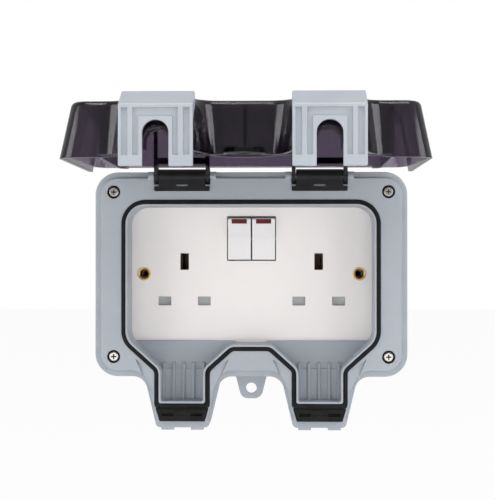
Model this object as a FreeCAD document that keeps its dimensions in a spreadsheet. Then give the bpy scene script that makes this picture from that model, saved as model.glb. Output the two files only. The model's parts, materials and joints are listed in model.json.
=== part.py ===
"""Weatherproof double socket for an outside wall, with its lid held open.

Frame: origin at the centre of the wall face of the back box, X to the right, Z up, Y into the wall.
Depths are distances in front of the wall, so a depth of 48 lies at Y = -48. All sizes are millimetres.
The lid and its latches are drawn shut, then turned open about the hinge pins.
"""
import FreeCAD, Part
import math
import os
import Sketcher

DRIVING = {
    # back box and its seal
    "box_half_wide": 84.5,
    "box_half_tall": 55.0,
    "box_corner": 11.5,
    "box_depth": 44.0,
    "box_wall": 2.6,
    "box_seal_thick": 1.5,
    "box_seal_wide": 1.8,
    "wall_hole_across": 120.0,
    "wall_hole_up": 60.0,
    "wall_hole": 2.5,
    # front frame: outline, its outer band and the raised front
    "frame_half_wide": 85.5,
    "frame_top": 56.0,
    "frame_bottom": 56.0,
    "frame_corner": 12.5,
    "frame_wall": 2.6,
    "band_depth": 63.0,
    "front_depth": 66.0,
    "band_wide": 3.3,
    "ledge_wide": 1.5,
    "edge_round": 0.7,
    # cable outlets
    "outlet_apart": 75.0,
    "outlet_tip": 84.0,
    "outlet_tip_half": 14.3,
    "outlet_slope": 0.24,
    "outlet_blend": 8.0,
    "outlet_corner": 2.6,
    "catch_tall": 3.8,
    "catch_wide": 7.0,
    "catch_inner": 4.6,
    "catch_proud": 1.2,
    "catch_thick": 1.6,
    # lid seal line round the opening and the channels
    "seal_half_wide": 69.5,
    "seal_top": 39.5,
    "seal_middle": 40.6,
    "seal_knee": 52.5,
    "seal_channel": 13.9,
    "seal_slope": 0.9,
    "seal_corner": 12.0,
    "seal_blend": 4.6,
    "seal_end": 70.2,
    "gasket_wide": 2.5,
    "gasket_proud": 0.6,
    "gasket_deep": 2.0,
    "lip_wide": 1.1,
    "lip_tall": 2.0,
    "well_wall": 1.8,
    # channel floor
    "opening_bottom": 37.3,
    "ramp_thick": 2.2,
    "ramp_start_depth": 50.2,
    "ramp_end_depth": 57.5,
    "rib_count": 5,
    "rib_pitch": 5.4,
    "rib_wide": 1.4,
    "rib_proud": 1.4,
    "rib_first": 49.0,
    # shaded facets beside the channels
    "facet_in": 0.4,
    "facet_wide": 10.0,
    "facet_top": 46.3,
    "facet_low": 66.0,
    "facet_deep": 1.4,
    # rubber cable seals
    "cable_seal_top": 73.2,
    "cable_seal_tall": 7.0,
    "cable_seal_half": 14.4,
    "cable_seal_half_low": 12.2,
    "cable_seal_depth": 66.9,
    "cable_seal_thick": 11.0,
    "cable_seal_groove": 1.2,
    # padlock lug and tab
    "lug_root_half": 9.0,
    "lug_end_half": 5.4,
    "lug_end": 69.0,
    "lug_depth": 53.6,
    "lug_thick": 3.1,
    "padlock_hole_down": 63.3,
    "padlock_hole": 3.0,
    "tab_radius": 10.4,
    "tab_thick": 2.6,
    # cover screws
    "screw_across": 150.0,
    "screw_up": 90.0,
    "screw_shank": 1.6,
    "screw_head": 2.6,
    "screw_head_tall": 1.7,
    "screw_recess": 3.6,
    "screw_ring_thick": 1.2,
    "screw_boss": 4.0,
    "screw_bite": 16.0,
    # hinges
    "hinge_apart": 75.0,
    "hinge_up": 53.5,
    "hinge_depth": 64.0,
    "knuckle": 4.0,
    "hinge_pin": 1.5,
    "barrel_half": 12.8,
    "arm_thick": 2.1,
    "hinge_gap": 0.25,
    "hinge_boss_long": 3.2,
    "hinge_boss": 2.7,
    "bracket_bottom": 45.4,
    "bracket_thick": 1.5,
    "bracket_window": 6.5,
    "notch_gap": 0.5,
    # lid
    "lid_rim_depth": 65.4,
    "lid_front_depth": 92.0,
    "lid_wall": 2.0,
    "lid_draft": 0.185,
    "lid_inset": -0.5,
    "lid_tip_over": 0.6,
    "lid_top": 48.5,
    "lid_top_rim_depth": 68.4,
    "lid_cut_down": 38.5,
    "lid_cut_in": 5.0,
    "lid_edge": 2.6,
    "lid_corner": 8.5,
    "horn_start": 58.0,
    "horn_drop": 10.5,
    "horn_run": 26.0,
    "lid_rib_thick": 1.6,
    "lid_rib_gap": 0.4,
    "cable_arch": 5.5,
    "cable_arch_top": 76.0,
    # latches
    "latch_wide": 32.3,
    "latch_face": 87.8,
    "latch_thick": 2.2,
    "latch_end_depth": 60.4,
    "latch_knee_depth": 86.0,
    "latch_top_depth": 93.3,
    "latch_top_back": 75.2,
    "latch_slot": 5.75,
    "latch_slot_tall": 18.7,
    "latch_rim": 1.0,
    "latch_rim_wide": 1.6,
    "latch_cheek": 2.2,
    "latch_ear": 2.2,
    "latch_pivot_down": 76.0,
    "latch_pivot_depth": 87.8,
    "latch_pin": 1.0,
    "latch_lug": 1.75,
    "latch_hook_tall": 1.2,
    # socket faceplate
    "plate_wide": 146.0,
    "plate_tall": 86.0,
    "plate_corner": 5.0,
    "plate_depth": 48.0,
    "plate_thick": 9.0,
    "plate_skin": 3.0,
    "plate_side": 2.5,
    "socket_apart": 75.2,
    "pin_apart": 22.2,
    "pin_drop": 22.1,
    "earth_up": 6.9,
    "earth_slot_wide": 4.8,
    "earth_slot_tall": 9.3,
    "power_slot_wide": 7.2,
    "power_slot_tall": 5.0,
    "eyelet_apart": 120.6,
    "eyelet_hole": 1.95,
    "eyelet_body": 2.6,
    "eyelet_flange": 3.7,
    "eyelet_proud": 0.5,
    "eyelet_boss": 4.4,
    # rocker switches
    "rocker_wide": 12.8,
    "rocker_tall": 24.0,
    "rocker_gap": 0.8,
    "rocker_clear": 0.5,
    "rocker_up": 19.8,
    "rocker_axis_depth": 43.4,
    "rocker_low_depth": 48.3,
    "rocker_mid_depth": 48.8,
    "rocker_top_depth": 51.6,
    "rocker_back": 6.4,
    "rocker_flag_wide": 8.5,
    "rocker_flag_tall": 2.5,
    "rocker_flag_thick": 1.1,
    "spindle": 1.0,
    "spindle_ear": 3.0,
    "spindle_ear_thick": 2.2,
    "plunger_stub": 2.6,
    "plunger_stub_long": 3.0,
    "plunger_bore": 1.9,
    # shutters
    "shutter_thick": 1.8,
    "shutter_gap": 0.2,
    "shutter_tall": 7.0,
    "shutter_stem": 3.0,
    "spring_coil": 1.7,
    "spring_wire": 0.3,
    "spring_turns": 6,
    # rear housing and what it holds
    "housing_half_wide": 55.5,
    "housing_top": 36.0,
    "housing_bottom": 39.0,
    "housing_deep": 26.0,
    "housing_wall": 1.8,
    "housing_screw_apart": 93.0,
    "housing_screw_up": 26.0,
    "housing_screw": 1.4,
    "housing_screw_head": 2.8,
    "housing_screw_head_tall": 1.6,
    "housing_boss": 3.2,
    "clip_long": 14.0,
    "clip_leaf": 0.8,
    "pin_grip": 3.8,
    "power_clip_wide": 6.0,
    "bar_thick": 1.0,
    "terminal_wide": 9.0,
    "terminal_tall": 8.0,
    "terminal_deep": 9.0,
    "terminal_low": -30.0,
    "terminal_apart": 22.0,
    "terminal_wall": 1.4,
    "wire_bore": 2.2,
    "terminal_screw": 1.7,
    "clip_lift": 3.0,
    "bar_drop": 6.0,
    "line_bar_up": -1.0,
    # switch works
    "arm_pivot_drop": 11.0,
    "arm_reach": 10.0,
    "arm_dip": 1.6,
    "edge_bead": 0.5,
    "arm_wide": 5.0,
    "plunger_gap": 0.5,
    "riser_aside": 5.0,
    "earth_clip_tall": 8.1,
    # shared clearances
    "running": 0.05,
    "seat": 0.1,
    "sink": 0.5,
}


class Size:
    """A length that knows its number and its formula over the sheet's cells."""

    def __init__(self, text, number):
        self.text = text
        self.number = number

    def __add__(self, other):
        other = size(other)
        return Size(f"({self.text} + {other.text})", self.number + other.number)

    def __sub__(self, other):
        other = size(other)
        return Size(f"({self.text} - {other.text})", self.number - other.number)

    def __mul__(self, other):
        other = size(other)
        return Size(f"({self.text} * {other.text})", self.number * other.number)

    def __truediv__(self, other):
        other = size(other)
        return Size(f"({self.text} / {other.text})", self.number / other.number)

    def __neg__(self):
        return Size(f"(0 - {self.text})", -self.number)

    def root(self):
        return Size(f"sqrt({self.text})", self.number ** 0.5)

    def __rsub__(self, other):
        return size(other) - self

    __radd__ = __add__
    __rmul__ = __mul__


def size(value):
    return value if isinstance(value, Size) else Size(f"({value})", float(value))


def make_sheet():
    """Write every driving size to its own cell, and give the names back as Size values."""
    sheet = doc.addObject("Spreadsheet::Sheet", "sizes")
    cells = {}
    for row, (alias, number) in enumerate(DRIVING.items(), start=1):
        sheet.set(f"A{row}", alias)
        sheet.set(f"B{row}", str(number))
        sheet.setAlias(f"B{row}", alias)
        cells[alias] = Size(f"sizes.{alias}", float(number))
    doc.recompute()
    return cells


doc = FreeCAD.newDocument("outdoor_socket")
S = make_sheet()
SIDES = {"left": -1, "right": 1}
NODES = []


def bind(thing, prop, value):
    """Set one property, and tie it to the sheet."""
    thing.setExpression(prop, size(value).text)


def place(thing, x, depth, z, turn=None):
    """Put a primitive at a point, with its place tied to the sheet."""
    point = FreeCAD.Vector(size(x).number, -size(depth).number, size(z).number)
    thing.Placement = FreeCAD.Placement(point, turn or FreeCAD.Rotation())
    bind(thing, "Placement.Base.x", x)
    bind(thing, "Placement.Base.y", -size(depth))
    bind(thing, "Placement.Base.z", z)
    return thing


def block(x0, x1, depth0, depth1, z0, z1):
    """A box between two places on each axis."""
    box = doc.addObject("Part::Box", "block")
    bind(box, "Length", size(x1) - x0)
    bind(box, "Width", size(depth1) - depth0)
    bind(box, "Height", size(z1) - z0)
    return place(box, x0, depth1, z0)


TURNS = {
    "x": FreeCAD.Rotation(FreeCAD.Vector(0, 1, 0), 90),
    "out": FreeCAD.Rotation(FreeCAD.Vector(1, 0, 0), 90),
    "z": FreeCAD.Rotation(),
}


def rod(radius, length, x, depth, z, along="out"):
    """A cylinder that starts at a point and runs along X, Z, or out from the wall."""
    cylinder = doc.addObject("Part::Cylinder", "rod")
    bind(cylinder, "Radius", radius)
    bind(cylinder, "Height", length)
    return place(cylinder, x, depth, z, TURNS[along])


def fuse(*parts):
    joined = doc.addObject("Part::MultiFuse", "fuse")
    joined.Shapes = list(parts)
    joined.Refine = True
    return joined


def cut(base, *tools):
    """Take the tools away from the base."""
    result = doc.addObject("Part::Cut", "cut")
    result.Base = base
    result.Tool = tools[0] if len(tools) == 1 else fuse(*tools)
    result.Refine = True
    return result


def common(first, second):
    shared = doc.addObject("Part::Common", "common")
    shared.Base = first
    shared.Tool = second
    shared.Refine = True
    return shared


def node(label, thing):
    """Give a finished piece its name, and list it to be written."""
    thing.Label = label
    NODES.append(thing)
    return thing


PLANES = {"wall": "XZ_Plane", "side": "YZ_Plane", "floor": "XY_Plane"}


class Moulding:
    """A body built up from sketches.

    A sketch on the wall plane is drawn in (x, z) and runs out from the wall, one on the side plane is
    drawn in (depth, z) and runs along x, and one on the floor plane is drawn in (x, depth) and runs up.
    """

    def __init__(self, name):
        self.body = doc.addObject("PartDesign::Body", name)

    def sketch(self, plane, at, *outlines):
        drawing = self.body.newObject("Sketcher::SketchObject", "outline")
        planes = self.body.Origin.OriginFeatures
        drawing.AttachmentSupport = [p for p in planes if p.Role == PLANES[plane]]
        drawing.MapMode = "FlatFace"
        bind(drawing, "AttachmentOffset.Base.z", at)
        for outline in outlines:
            if isinstance(outline, Ring):
                draw_ring(drawing, outline, plane)
            else:
                draw_outline(drawing, outline, plane)
        self.settle(drawing)
        return drawing

    @staticmethod
    def settle(feature):
        """Work one feature out now, so that the document need not do it again at its end."""
        feature.recompute()
        feature.purgeTouched()

    def add(self, plane, start, end, *outlines):
        """Grow the outlines from start to end."""
        pad = self.body.newObject("PartDesign::Pad", "pad")
        pad.Profile = self.sketch(plane, start, *outlines)
        bind(pad, "Length", size(end) - start)
        self.settle(pad)
        return self

    def take(self, plane, start, end, *outlines):
        """Cut the outlines away between start and end."""
        before = self.body.Tip.Shape.Volume
        pocket = self.body.newObject("PartDesign::Pocket", "pocket")
        pocket.Profile = self.sketch(plane, end, *outlines)
        bind(pocket, "Length", size(end) - start)
        self.settle(pocket)
        if pocket.Shape.Volume > before - 1e-3:
            raise SystemExit(f"{self.body.Name}: {pocket.Name} cuts nothing")
        return self

    def loft(self, *sections):
        """Grow between outlines that lie at different depths."""
        drawings = [self.sketch("wall", depth, outline) for depth, outline in sections]
        loft = self.body.newObject("PartDesign::AdditiveLoft", "loft")
        loft.Profile = drawings[0]
        loft.Sections = drawings[1:]
        loft.Ruled = True
        self.settle(loft)
        return self

    def round(self, radius, wanted):
        """Round the edges for which wanted(edge) is true."""
        base = self.body.Tip
        names = [f"Edge{n}" for n, edge in enumerate(base.Shape.Edges, start=1) if wanted(edge)]
        fillet = self.body.newObject("PartDesign::Fillet", "fillet")
        fillet.Base = (base, names)
        bind(fillet, "Radius", radius)
        self.settle(fillet)
        return self


def slab(plane, start, end, *outlines):
    """A solid of one sketch."""
    return Moulding("slab").add(plane, start, end, *outlines).body


class Ring:
    """A circle in a sketch."""

    def __init__(self, u, v, radius):
        self.u = size(u)
        self.v = size(v)
        self.radius = size(radius)


def on_plane(plane, u, v):
    """Depths run against Y, so they change sign in the sketches that show them."""
    u = size(u)
    v = size(v)
    if plane == "side":
        return -u, v
    if plane == "floor":
        return u, -v
    return u, v


class Drawing:
    """Collects a sketch's lines and rules, and gives them to the sketch together."""

    def __init__(self, sketch):
        self.sketch = sketch
        self.rules = []
        self.ties = []

    def line(self, shape, helper=False):
        return self.sketch.addGeometry(shape, helper)

    def rule(self, *words):
        self.rules.append(Sketcher.Constraint(*words))

    def measure(self, kind, *where, value):
        """A rule with a length, which is tied to the sheet."""
        self.ties.append((len(self.rules), value.text))
        self.rules.append(Sketcher.Constraint(kind, *where, value.number))

    def tie(self, geometry, corner, u, v):
        self.measure("DistanceX", -1, 1, geometry, corner, value=u)
        self.measure("DistanceY", -1, 1, geometry, corner, value=v)

    def finish(self):
        first = len(self.sketch.Constraints)
        self.sketch.addConstraint(self.rules)
        for index, text in self.ties:
            self.sketch.setExpression(f"Constraints[{first + index}]", text)


def draw_ring(sketch, ring, plane):
    u, v = on_plane(plane, ring.u, ring.v)
    drawing = Drawing(sketch)
    centre = FreeCAD.Vector(u.number, v.number, 0)
    circle = drawing.line(Part.Circle(centre, FreeCAD.Vector(0, 0, 1), ring.radius.number))
    drawing.measure("Radius", circle, value=ring.radius)
    drawing.tie(circle, 3, u, v)
    drawing.finish()


def draw_outline(sketch, corners, plane):
    """Draw a closed outline of straight runs, with an arc at each corner that has a radius."""
    points = [on_plane(plane, corner[0], corner[1]) for corner in corners]
    radii = [size(corner[2]) if len(corner) > 2 else None for corner in corners]
    spots = [FreeCAD.Vector(u.number, v.number, 0) for u, v in points]
    count = len(spots)
    drawing = Drawing(sketch)
    arcs = [round_corner(spots[i - 1], spots[i], spots[(i + 1) % count], radii[i]) for i in range(count)]
    lines = [drawing.line(Part.LineSegment(arcs[i][2], arcs[(i + 1) % count][0])) for i in range(count)]
    for i in range(count):
        before = lines[i - 1]
        after = lines[i]
        if radii[i] is None:
            drawing.rule("Coincident", before, 2, after, 1)
            drawing.tie(after, 1, *points[i])
            continue
        start, middle, end = arcs[i]
        arc = drawing.line(Part.Arc(start, middle, end))
        forward = (sketch.getPoint(arc, 1) - start).Length < 1e-6
        near, far = (1, 2) if forward else (2, 1)
        drawing.rule("Tangent", before, 2, arc, near)
        drawing.rule("Tangent", arc, far, after, 1)
        drawing.measure("Radius", arc, value=radii[i])
        mark = drawing.line(Part.Point(spots[i]), True)
        drawing.rule("PointOnObject", mark, 1, before)
        drawing.rule("PointOnObject", mark, 1, after)
        drawing.tie(mark, 1, *points[i])
    drawing.finish()


def round_corner(before, corner, after, radius):
    """Start, middle and end of the arc that rounds a corner."""
    if radius is None:
        return corner, corner, corner
    back = (before - corner).normalize()
    ahead = (after - corner).normalize()
    half = back.getAngle(ahead) / 2
    reach = radius.number / math.tan(half)
    inward = (back + ahead).normalize()
    centre = corner + inward * (radius.number / math.sin(half))
    return corner + back * reach, centre - inward * radius.number, corner + ahead * reach


def mirrored(right_half):
    """Complete an outline whose right half is given, from the bottom middle to the top middle."""
    left_half = [(-size(corner[0]), *corner[1:]) for corner in reversed(right_half)]
    return right_half + left_half


def box_outline(x0, x1, v0, v1, radius=None):
    """Four corners, rounded alike."""
    tail = () if radius is None else (radius,)
    return [(x0, v0, *tail), (x1, v0, *tail), (x1, v1, *tail), (x0, v1, *tail)]


OUTLET = S["outlet_apart"] / 2
HINGE = S["hinge_apart"] / 2
FLANK_LEAN = (S["outlet_slope"] * S["outlet_slope"] + 1).root()


def outlet_half(down, inset=0):
    """Half the width of a cable outlet, at a distance below the middle of the socket."""
    straight = S["outlet_tip_half"] + (S["outlet_tip"] - down) * S["outlet_slope"]
    return straight - FLANK_LEAN * inset


def shell_outline(side_in=0, flank_in=0, tip_in=0, corner_tip=None):
    """The front frame's outline with its two cable outlets, moved inward."""
    bottom = S["frame_bottom"] - side_in
    tip = S["outlet_tip"] - tip_in
    half = S["frame_half_wide"] - side_in
    corner = S["frame_corner"] - side_in
    blend = S["outlet_blend"] + flank_in
    small = corner_tip or S["outlet_corner"]
    return mirrored([
        (OUTLET - outlet_half(bottom, flank_in), -bottom, blend),
        (OUTLET - outlet_half(tip, flank_in), -tip, small),
        (OUTLET + outlet_half(tip, flank_in), -tip, small),
        (OUTLET + outlet_half(bottom, flank_in), -bottom, blend),
        (half, -bottom, corner),
        (half, S["frame_top"] - side_in, corner),
    ])


SEAL_LEAN = (S["seal_slope"] * S["seal_slope"] + 1).root()
SEAL_COS = size(1) / SEAL_LEAN
SEAL_SIN = S["seal_slope"] / SEAL_LEAN
CHANNEL_END = S["seal_end"] + S["gasket_wide"] / 2


def seal_path(grow):
    """The lid's seal line round the socket and down both cable channels, moved outward by grow."""
    grow = size(grow)
    end = CHANNEL_END + grow
    channel = S["seal_channel"] + grow
    run = (S["seal_knee"] - S["seal_middle"]) / S["seal_slope"]
    flat_half = OUTLET - S["seal_channel"] - run - grow * ((size(1) - SEAL_COS) / SEAL_SIN)
    knee = S["seal_knee"] + grow * ((size(1) - SEAL_SIN) / SEAL_COS)
    rise = (S["seal_half_wide"] - OUTLET - S["seal_channel"]) * S["seal_slope"]
    return mirrored([
        (flat_half, -(S["seal_middle"] + grow), S["seal_blend"] - grow),
        (OUTLET - channel, -knee, S["seal_blend"] - grow),
        (OUTLET - channel, -end, 1.2),
        (OUTLET + channel, -end, 1.2),
        (OUTLET + channel, -knee, S["seal_blend"] - grow),
        (S["seal_half_wide"] + grow, rise - knee, S["seal_corner"] + grow),
        (S["seal_half_wide"] + grow, S["seal_top"] + grow, S["seal_corner"] + grow),
    ])


FRAME_REAR = S["box_depth"] + S["box_seal_thick"]
GASKET_HALF = S["gasket_wide"] / 2
LIP_IN = GASKET_HALF + S["lip_wide"]
ARM_IN = S["barrel_half"] + S["hinge_gap"]
ARM_OUT = ARM_IN + S["arm_thick"]
BOSS_IN = ARM_OUT + S["hinge_gap"]
BOSS_OUT = BOSS_IN + S["hinge_boss_long"]
NOTCH_DOWN = S["hinge_up"] - S["knuckle"] - S["notch_gap"]
NOTCH_DEPTH = S["hinge_depth"] - S["knuckle"] - S["notch_gap"]
SCREW_SPOTS = {
    "top_left": (-S["screw_across"] / 2, S["screw_up"] / 2),
    "top_right": (S["screw_across"] / 2, S["screw_up"] / 2),
    "bottom_left": (-S["screw_across"] / 2, -S["screw_up"] / 2),
    "bottom_right": (S["screw_across"] / 2, -S["screw_up"] / 2),
}


def make_back_box():
    box = Moulding("back_box_body")
    half = S["box_half_wide"]
    tall = S["box_half_tall"]
    wall = S["box_wall"]
    corner = S["box_corner"]
    box.add("wall", 0, S["box_depth"], box_outline(-half, half, -tall, tall, corner))
    box.take("wall", wall, S["box_depth"],
             box_outline(wall - half, half - wall, wall - tall, tall - wall, corner - wall))
    box.add("wall", wall / 2, S["box_depth"], *[Ring(x, z, S["screw_boss"]) for x, z in SCREW_SPOTS.values()])
    pillar_end = S["plate_depth"] - S["plate_thick"]
    box.add("wall", wall / 2, pillar_end,
            *[Ring(S["eyelet_apart"] / 2 * side, 0, S["screw_boss"]) for side in (-1, 1)])
    box.take("wall", S["box_depth"] - S["screw_bite"], S["box_depth"],
             *[Ring(x, z, S["screw_shank"]) for x, z in SCREW_SPOTS.values()])
    box.take("wall", wall * 3, pillar_end,
             *[Ring(S["eyelet_apart"] / 2 * side, 0, S["screw_shank"]) for side in (-1, 1)])
    across = S["wall_hole_across"] / 2
    up = S["wall_hole_up"] / 2
    box.take("wall", 0, wall, *[Ring(across * i, up * j, S["wall_hole"]) for i in (-1, 1) for j in (-1, 1)])
    for side in (-1, 1):
        entry = OUTLET * side
        box.take("floor", -tall, wall / 4 - tall,
                 Ring(entry, S["box_depth"] / 2, 10.6), Ring(entry, S["box_depth"] / 2, 9.8))
    return node("back_box", box.body)


def make_box_seal():
    seal = Moulding("box_seal_body")
    half = S["box_half_wide"]
    tall = S["box_half_tall"]
    corner = S["box_corner"]
    outer = (S["box_wall"] - S["box_seal_wide"]) / 2
    inner = outer + S["box_seal_wide"]
    seal.add("wall", S["box_depth"], FRAME_REAR,
             box_outline(outer - half, half - outer, outer - tall, tall - outer, corner - outer),
             box_outline(inner - half, half - inner, inner - tall, tall - inner, corner - inner))
    return node("box_seal", seal.body)


RAMP_SLOPE = (S["ramp_end_depth"] - S["ramp_start_depth"]) / (S["cable_seal_top"] - S["opening_bottom"])


def ramp_depth(down):
    """How far the channel floor stands out, at a distance below the middle of the socket."""
    return S["ramp_start_depth"] + (down - S["opening_bottom"]) * RAMP_SLOPE


def flat_at(depth):
    """Make a test that picks the edges lying flat at one depth."""
    wanted = -size(depth).number

    def lies_flat(edge):
        box = edge.BoundBox
        return abs(box.YMin - wanted) < 1e-4 and abs(box.YMax - wanted) < 1e-4

    return lies_flat


def make_front_frame():
    """The grey front moulding with its opening, seal groove, cable channels and hinge seats."""
    wall = S["frame_wall"]
    half = S["frame_half_wide"]
    band = S["band_depth"]
    front = S["front_depth"]
    shell = Moulding("front_frame_shell")
    shell.add("wall", FRAME_REAR, band, shell_outline())
    shell.round(S["edge_round"], flat_at(band))
    shell.add("wall", band - wall, front,
              shell_outline(S["band_wide"], S["ledge_wide"], S["catch_tall"], S["outlet_corner"] / 2))
    shell.round(S["edge_round"], flat_at(front))
    shell.take("wall", FRAME_REAR, band - wall,
               box_outline(wall - half, half - wall, wall - S["frame_bottom"], S["frame_top"] - wall,
                           S["frame_corner"] - wall))
    grown = [
        shell.body,
        slab("wall", S["plate_depth"], band - wall / 2, seal_path(GASKET_HALF + S["well_wall"])),
        slab("wall", front - 1, front + S["lip_tall"], seal_path(-GASKET_HALF), seal_path(-LIP_IN)),
        lug_plate(),
    ]
    for x, z in SCREW_SPOTS.values():
        grown.append(rod(S["screw_boss"], band - wall / 2 - FRAME_REAR, x, FRAME_REAR, z))
    for side in (-1, 1):
        grown += hinge_seats(HINGE * side) + catch_blocks(OUTLET * side)
    opened = cut(fuse(*grown), slab("wall", S["plate_depth"], front + 1, seal_path(-LIP_IN)))
    floors = [piece for side in (-1, 1) for piece in channel_floor(OUTLET * side)]
    cuts = [
        slab("wall", front - S["gasket_deep"], front + 1, seal_path(GASKET_HALF), seal_path(-GASKET_HALF)),
        rod(S["padlock_hole"], S["lug_thick"] * 2, 0, S["lug_depth"] - S["lug_thick"] * 1.5,
            -S["padlock_hole_down"]),
    ]
    recess = S["screw_head_tall"] + S["screw_ring_thick"]
    for x, z in SCREW_SPOTS.values():
        cuts.append(rod(S["screw_recess"], recess * 2, x, front - recess, z))
        cuts.append(rod(S["screw_shank"] + S["seat"], front, x, FRAME_REAR - 1, z))
    for side in (-1, 1):
        cuts += hinge_notch(HINGE * side) + channel_hollows(OUTLET * side) + flank_facets(OUTLET * side)
    return node("front_frame", cut(fuse(opened, *floors), *cuts))


def hinge_seats(middle):
    """Solid ground for the hinge behind the frame's top edge, and the two bosses that hold its pin."""
    wall = S["frame_wall"]
    ground = block(middle - BOSS_OUT, middle + BOSS_OUT, NOTCH_DEPTH - wall * 2, S["band_depth"] - wall / 2,
                   NOTCH_DOWN - wall, S["frame_top"] - wall / 2)
    bosses = [rod(S["hinge_boss"], S["hinge_boss_long"], middle + start, S["hinge_depth"],
                  S["hinge_up"], "x") for start in (-BOSS_OUT, BOSS_IN)]
    return [ground, *bosses]


def hinge_notch(middle):
    """Room for the barrel and the lid's two eyes, and the bore for the pin."""
    notch = block(middle - BOSS_IN, middle + BOSS_IN, NOTCH_DEPTH, S["front_depth"] + 1, NOTCH_DOWN,
                  S["frame_top"] + 1)
    bore = rod(S["hinge_pin"], BOSS_OUT * 2, middle - BOSS_OUT, S["hinge_depth"], S["hinge_up"], "x")
    return [notch, bore]


def flank_facets(middle):
    """The two shaded facets between the seal and the curved edge of an outlet."""
    front = S["front_depth"]
    start = S["seal_channel"] + GASKET_HALF + S["facet_in"]
    top = S["facet_top"]
    low = S["facet_low"]
    wide = S["facet_wide"]
    facets = []
    for side in (-1, 1):
        def across(reach):
            return middle + reach * side
        near, far = sorted((across(start), across(start + wide)), key=lambda reach: reach.number)
        fall = [(near, front + 1), (far, front + 1)]
        fall += [(far, front - S["facet_deep"]), (near, front)] if side > 0 else [
            (far, front), (near, front - S["facet_deep"])]
        facets.append(common(
            slab("floor", -low - 1, 1 - top, fall),
            slab("wall", front - S["facet_deep"] * 2, front + 1, [
                (across(start), -S["seal_knee"] - 1), (across(start + wide), -top),
                (across(start + wide * 0.55), -(top + low) / 2), (across(start), -low)])))
    return facets


def catch_blocks(middle):
    """Two blocks on the tip of an outlet that the latch hooks behind."""
    return [block(middle + start, middle + start + S["catch_wide"],
                  S["band_depth"] - S["catch_thick"], S["band_depth"],
                  -(S["outlet_tip"] + S["catch_proud"]), S["frame_wall"] / 2 - S["outlet_tip"])
            for start in (S["catch_inner"], -(S["catch_inner"] + S["catch_wide"]))]


def channel_floor(middle):
    """The sloping floor of a cable channel, and the ribs that run down it."""
    thick = S["ramp_thick"]
    top = S["opening_bottom"]
    knee = S["seal_knee"] + thick
    end = S["cable_seal_top"] + thick / 2
    plate_edge = S["plate_tall"] / 2 + S["seat"] * 5
    under = S["plate_depth"] + S["seat"]
    wide = S["seal_channel"] + (S["seal_half_wide"] - OUTLET - S["seal_channel"]) * 0.8
    narrow = S["seal_channel"] - GASKET_HALF
    pieces = [
        slab("side", middle - wide, middle + wide, [
            (under, -top), (ramp_depth(top), -top), (ramp_depth(knee), -knee),
            (ramp_depth(knee) - thick, -knee), (ramp_depth(plate_edge) - thick, -plate_edge),
            (under, -plate_edge)]),
        slab("side", middle - narrow, middle + narrow, [
            (ramp_depth(knee) - thick * 2, thick - knee), (ramp_depth(knee), thick - knee),
            (ramp_depth(end), -end), (ramp_depth(end) - thick * 2, -end)]),
    ]
    count = round(S["rib_count"].number)
    first = S["rib_first"]
    last = CHANNEL_END - GASKET_HALF
    for number in range(count):
        x = middle + S["rib_pitch"] * (number - (count - 1) / 2)
        pieces.append(slab("side", x - S["rib_wide"] / 2, x + S["rib_wide"] / 2, [
            (ramp_depth(first) - thick / 2, -first), (ramp_depth(first) + S["rib_proud"], -first, 0.6),
            (ramp_depth(last) + S["rib_proud"], -last), (ramp_depth(last) - thick / 2, -last)]))
    return pieces


def channel_hollows(middle):
    """The pocket for the rubber seal, and the hollow behind a channel."""
    thick = S["ramp_thick"]
    seal_floor = S["cable_seal_depth"] - S["cable_seal_thick"]
    half = S["outlet_tip_half"] - S["frame_wall"] * 1.4
    start = S["frame_bottom"] + thick
    end = S["outlet_tip"] - S["frame_wall"]
    back = FRAME_REAR - 1
    return [
        slab("wall", seal_floor, S["front_depth"] + S["lip_tall"] + 1, cable_seal_outline(middle, S["seat"])),
        slab("side", middle - half, middle + half, [
            (back, -start), (ramp_depth(start) - thick * 2, -start), (seal_floor - thick, -end),
            (back, -end)]),
    ]


def cable_seal_outline(middle, grow=0):
    """The rubber block's face, wider at its top."""
    top = S["cable_seal_half"] + grow
    low = S["cable_seal_half_low"] + grow
    end = S["cable_seal_top"] + S["cable_seal_tall"] + grow
    start = S["cable_seal_top"] - grow
    return [(middle - low, -end, 0.8), (middle + low, -end, 0.8), (middle + top, -start, 0.6),
            (middle - top, -start, 0.6)]


def lug_plate():
    """The padlock lug below the middle of the frame."""
    root = S["lug_root_half"]
    low = S["lug_end_half"]
    root_at = S["frame_wall"] / 2 - S["frame_bottom"]
    return slab("wall", S["lug_depth"] - S["lug_thick"], S["lug_depth"], [
        (-low, -S["lug_end"], low * 0.9), (low, -S["lug_end"], low * 0.9), (root, root_at),
        (-root, root_at)])


def make_gasket():
    gasket = Moulding("gasket_body")
    gasket.add("wall", S["front_depth"] - S["gasket_deep"], S["front_depth"] + S["gasket_proud"],
               seal_path(GASKET_HALF), seal_path(-GASKET_HALF))
    return node("lid_gasket", gasket.body)


def make_cable_seal(name, side):
    """A rubber block that closes round the cable, ribbed across so that it squashes."""
    seal = Moulding("cable_seal_body")
    middle = OUTLET * side
    front = S["cable_seal_depth"]
    groove = S["cable_seal_groove"]
    seal.add("wall", front - S["cable_seal_thick"], front, cable_seal_outline(middle))
    seal.take("wall", front - groove * 2, front,
              box_outline(middle - S["cable_seal_half_low"] + 1, middle + S["cable_seal_half_low"] - 1,
                          -(S["cable_seal_top"] + S["cable_seal_tall"] / 2 + groove / 2),
                          -(S["cable_seal_top"] + S["cable_seal_tall"] / 2 - groove / 2)))
    bump = S["catch_inner"] * 0.7
    seal.add("wall", front - groove * 2, front + groove / 3,
             box_outline(middle - bump, middle + bump,
                         groove / 2 - S["cable_seal_top"] - S["cable_seal_tall"],
                         -groove / 2 - S["cable_seal_top"]))
    return node(f"cable_seal_{name}", seal.body)


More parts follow.
